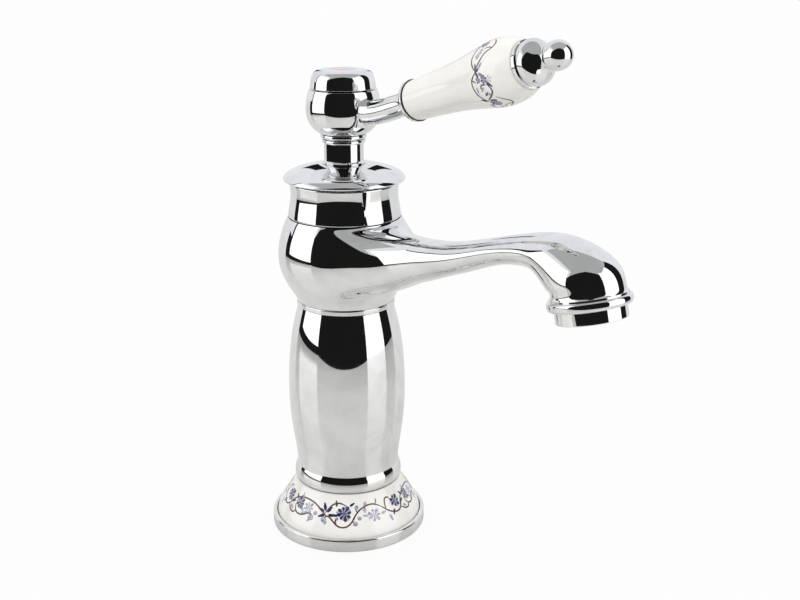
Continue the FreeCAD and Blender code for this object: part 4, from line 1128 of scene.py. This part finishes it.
# %% Spray of the skirt
SKIRT_LINE = surface_line("skirt_line", SKIRT_LIP, SKIRT_CURVE)
SKIRT_MIDDLE = 25.5
SKIRT_STEM = 0.66
REPEATS = 3
SKIRT_STROKES = [
    [(-7.1, 14.9), (-2, 13.0), (4, 11.6), (10.5, 11.2), (15.5, 12.7), (18.5, 15.0), (24.3, 16.2),
     (30.5, 17.0), (40, 17.0), (48, 16.2), (54, 14.6), (58.2, 13.5), (59.6, 13.0)],
    [(-96.5, 13.6), (-95, 12.0), (-91, 10.9), (-84, 11.0), (-77.5, 12.8), (-73.5, 12.0), (-75, 11.0)],
    [(-61.2, 13.9), (-58.5, 15.8), (-53, 17.6), (-46, 17.7), (-40.5, 16.4)],
    [(-62, 11.6), (-60.8, 13.0), (-57, 12.8), (-53, 11.2), (-48.5, 9.5), (-42, 9.3), (-37, 11.0),
     (-33.5, 13.6), (-28.5, 15.5), (-20.5, 16.7), (-12.5, 16.4), (-7.1, 14.9)],
    [(-3.5, 13.4), (-3.2, 15.6), (-1.2, 17.4), (3.5, 17.4), (4.5, 16.2)],
    [(-49.5, 9.9), (-51.6, 11.2), (-50.4, 12.5), (-48.6, 12.1)],
    [(-36.5, 11.4), (-33.5, 10.4), (-32.6, 11.2)], [(-31.5, 14.3), (-33.6, 15.4), (-32.4, 16.4)],
    [(-24, 16.0), (-25.5, 14.8), (-24.4, 14.0)], [(-13, 16.5), (-10.5, 17.6), (-12, 18.2)],
    [(14, 12.2), (18, 10.9), (24, 10.2), (27, 11.6), (25, 12.4)],
]
NAVY_FLOWERS = [(-43.6, 14.1, 2.0, 8), (9.8, 15.1, 1.75, 7), (29.0, 14.6, 1.6, 7)]
PALE_FLOWERS = [(-79.5, 14.2, 1.6, 7), (-16.1, 12.7, 1.8, 7)]
NAVY_LEAVES = [
    (-62.5, 14.3, 70, 1.3), (-61.2, 14.6, 20, 1.5), (-59.6, 14.2, -40, 1.3), (-61.0, 13.4, 115, 1.4),
    (-58.2, 13.4, -95, 1.3), (-51, 16.4, 10, 1.1), (-38.5, 16.6, -60, 1.1), (-49.5, 13.2, 80, 1.2),
    (23.5, 15.4, 40, 1.1), (25.2, 15.2, -30, 1.2), (15.4, 13.6, -70, 1.2), (5.6, 12.6, 150, 1.1),
]
PALE_LEAVES = [
    (26.6, 16.2, 160, 1.2), (30.2, 16.4, 15, 1.1), (-73.6, 11.8, 150, 1.3), (-84.5, 12.2, 40, 1.1),
    (-9.6, 12.6, -80, 1.1), (-21, 12.9, 85, 1.1), (17.5, 12.4, -120, 1.2), (34, 11.4, -60, 1.2),
    (-1.4, 11.6, 190, 1.3),
]
BERRIES = [
    (-74.6, 10.2, 2.6), (-70.9, 12.3, 1.9), (-34.0, 9.7, 1.9), (-30.0, 11.6, 1.7), (-32.0, 15.2, 1.9),
    (-23.2, 16.2, 1.8), (-24.6, 14.2, 1.7), (-50.0, 11.7, 1.3), (-61.8, 10.6, 2.3), (-60.4, 9.9, 1.5),
]


def skirt_spot(turn, level):
    return on_sheet(SKIRT_LINE, SKIRT_MIDDLE, turn, level)


def leaves(spots, place):
    return [lay_copy(leaf, place(turn, level), math.radians(lean), size) for turn, level, lean, size in spots]


def berries(spots, place):
    return [lay_copy(berry, place(turn, level), 0, size) for turn, level, size in spots]


def blooms(spots, place, kind=flower):
    return [copy for turn, level, size, petals in spots for copy in kind(place(turn, level), size, petals)]


skirt_berries = berries(BERRIES, skirt_spot)
skirt_stems = draw_stems("skirt_vine_stems", SKIRT_LINE, SKIRT_MIDDLE, SKIRT_STROKES, SKIRT_STEM)
navy_marks = blooms(NAVY_FLOWERS, skirt_spot) + leaves(NAVY_LEAVES, skirt_spot)
skirt_navy = join_pieces("skirt_vine_navy", navy_marks)
pale_marks = blooms(PALE_FLOWERS, skirt_spot) + blooms(NAVY_FLOWERS, skirt_spot, flower_ground)
pale_marks += leaves(PALE_LEAVES, skirt_spot) + skirt_berries
skirt_pale = join_pieces("skirt_vine_pale", pale_marks)
spray = {stem_ink: skirt_stems, navy_ink: skirt_navy, pale_ink: skirt_pale}
for ink, unit in spray.items():
    band = repeat_round(unit, SKIRT_MIDDLE, REPEATS)
    wrap(band, SKIRT_LINE, SKIRT_MIDDLE)
    dress(band, "body", None, ink)

# %% [markdown]
# The grip has a narrower band: two stems that part and meet again, with small flowers in the loops.

# %% Band of the grip
GRIP_LINE = surface_line("grip_line", GRIP_FOOT, GRIP_CURVE)
GRIP_MIDDLE = 10.4
GRIP_STEM = 0.6
GRIP_STROKES = [
    [(-98, 42.6), (-91.5, 41.0), (-83, 39.6), (-71, 39.4), (-58, 39.8), (-46.4, 41.0), (-38, 42.7)],
    [(-42, 42.5), (-45.5, 43.8), (-54, 46.5), (-63, 47.4), (-74, 46.0)],
    [(-72, 45.6), (-74.5, 44.0), (-69, 42.8), (-63, 43.6)],
    [(-98, 42.4), (-107, 43.5), (-116, 45.0), (-127, 46.3), (-133, 48.6), (-141, 49.6), (-153, 49.0),
     (-166, 46.6)],
    [(-98, 42.5), (-106, 41.3), (-118, 40.2), (-131, 40.4), (-144, 41.2), (-151, 42.9), (-158, 43.3)],
    [(-136, 48.6), (-140, 46.6), (-136, 45.4)], [(-84, 40.0), (-82, 41.6), (-79, 41.4)],
]
GRIP_NAVY = [(-81.5, 45.6, 0.95, 6), (-150, 44.6, 1.05, 6), (-82.5, 43.0, 0.7, 5)]
GRIP_PALE = [(-79.5, 47.7, 0.8, 5), (-66.5, 43.4, 0.7, 5), (-133, 44.0, 0.9, 6)]
GRIP_NAVY_LEAVES = [
    (-96.5, 42.6, 30, 1.0), (-97, 42.4, -60, 1.0), (-99.5, 42.8, 100, 1.0), (-76, 46.4, -50, 1.1),
    (-41, 43.2, -10, 1.2), (-39, 42.6, -70, 1.2), (-41, 42.0, 160, 1.2), (-53, 43.2, 30, 0.9),
]
GRIP_PALE_LEAVES = [
    (-93.5, 43.4, -20, 1.1), (-101, 43.8, 40, 1.1), (-72, 41.2, -100, 1.0), (-52, 45.8, 150, 1.1),
    (-32, 41.6, -120, 1.2), (-118, 43.0, 70, 1.2), (-124, 41.8, 20, 1.1),
]


def grip_spot(turn, level):
    return on_sheet(GRIP_LINE, GRIP_MIDDLE, turn, level)


grip_stems = draw_stems("grip_vine_stems", GRIP_LINE, GRIP_MIDDLE, GRIP_STROKES, GRIP_STEM)
navy_marks = blooms(GRIP_NAVY, grip_spot) + leaves(GRIP_NAVY_LEAVES, grip_spot)
grip_navy = join_pieces("grip_vine_navy", navy_marks)
pale_marks = blooms(GRIP_PALE, grip_spot) + blooms(GRIP_NAVY, grip_spot, flower_ground)
pale_marks += leaves(GRIP_PALE_LEAVES, grip_spot)
grip_pale = join_pieces("grip_vine_pale", pale_marks)
grip_spray = {stem_ink: grip_stems, navy_ink: grip_navy, pale_ink: grip_pale}
for ink, unit in grip_spray.items():
    band = repeat_round(unit, GRIP_MIDDLE, REPEATS)
    wrap(band, GRIP_LINE, GRIP_MIDDLE)
    lean_piece(band, LEVER_PLACE, LEVER_TURN)
    dress(band, "handle", None, ink)
for mark in (petal, leaf, berry):
    bpy.data.objects.remove(mark)
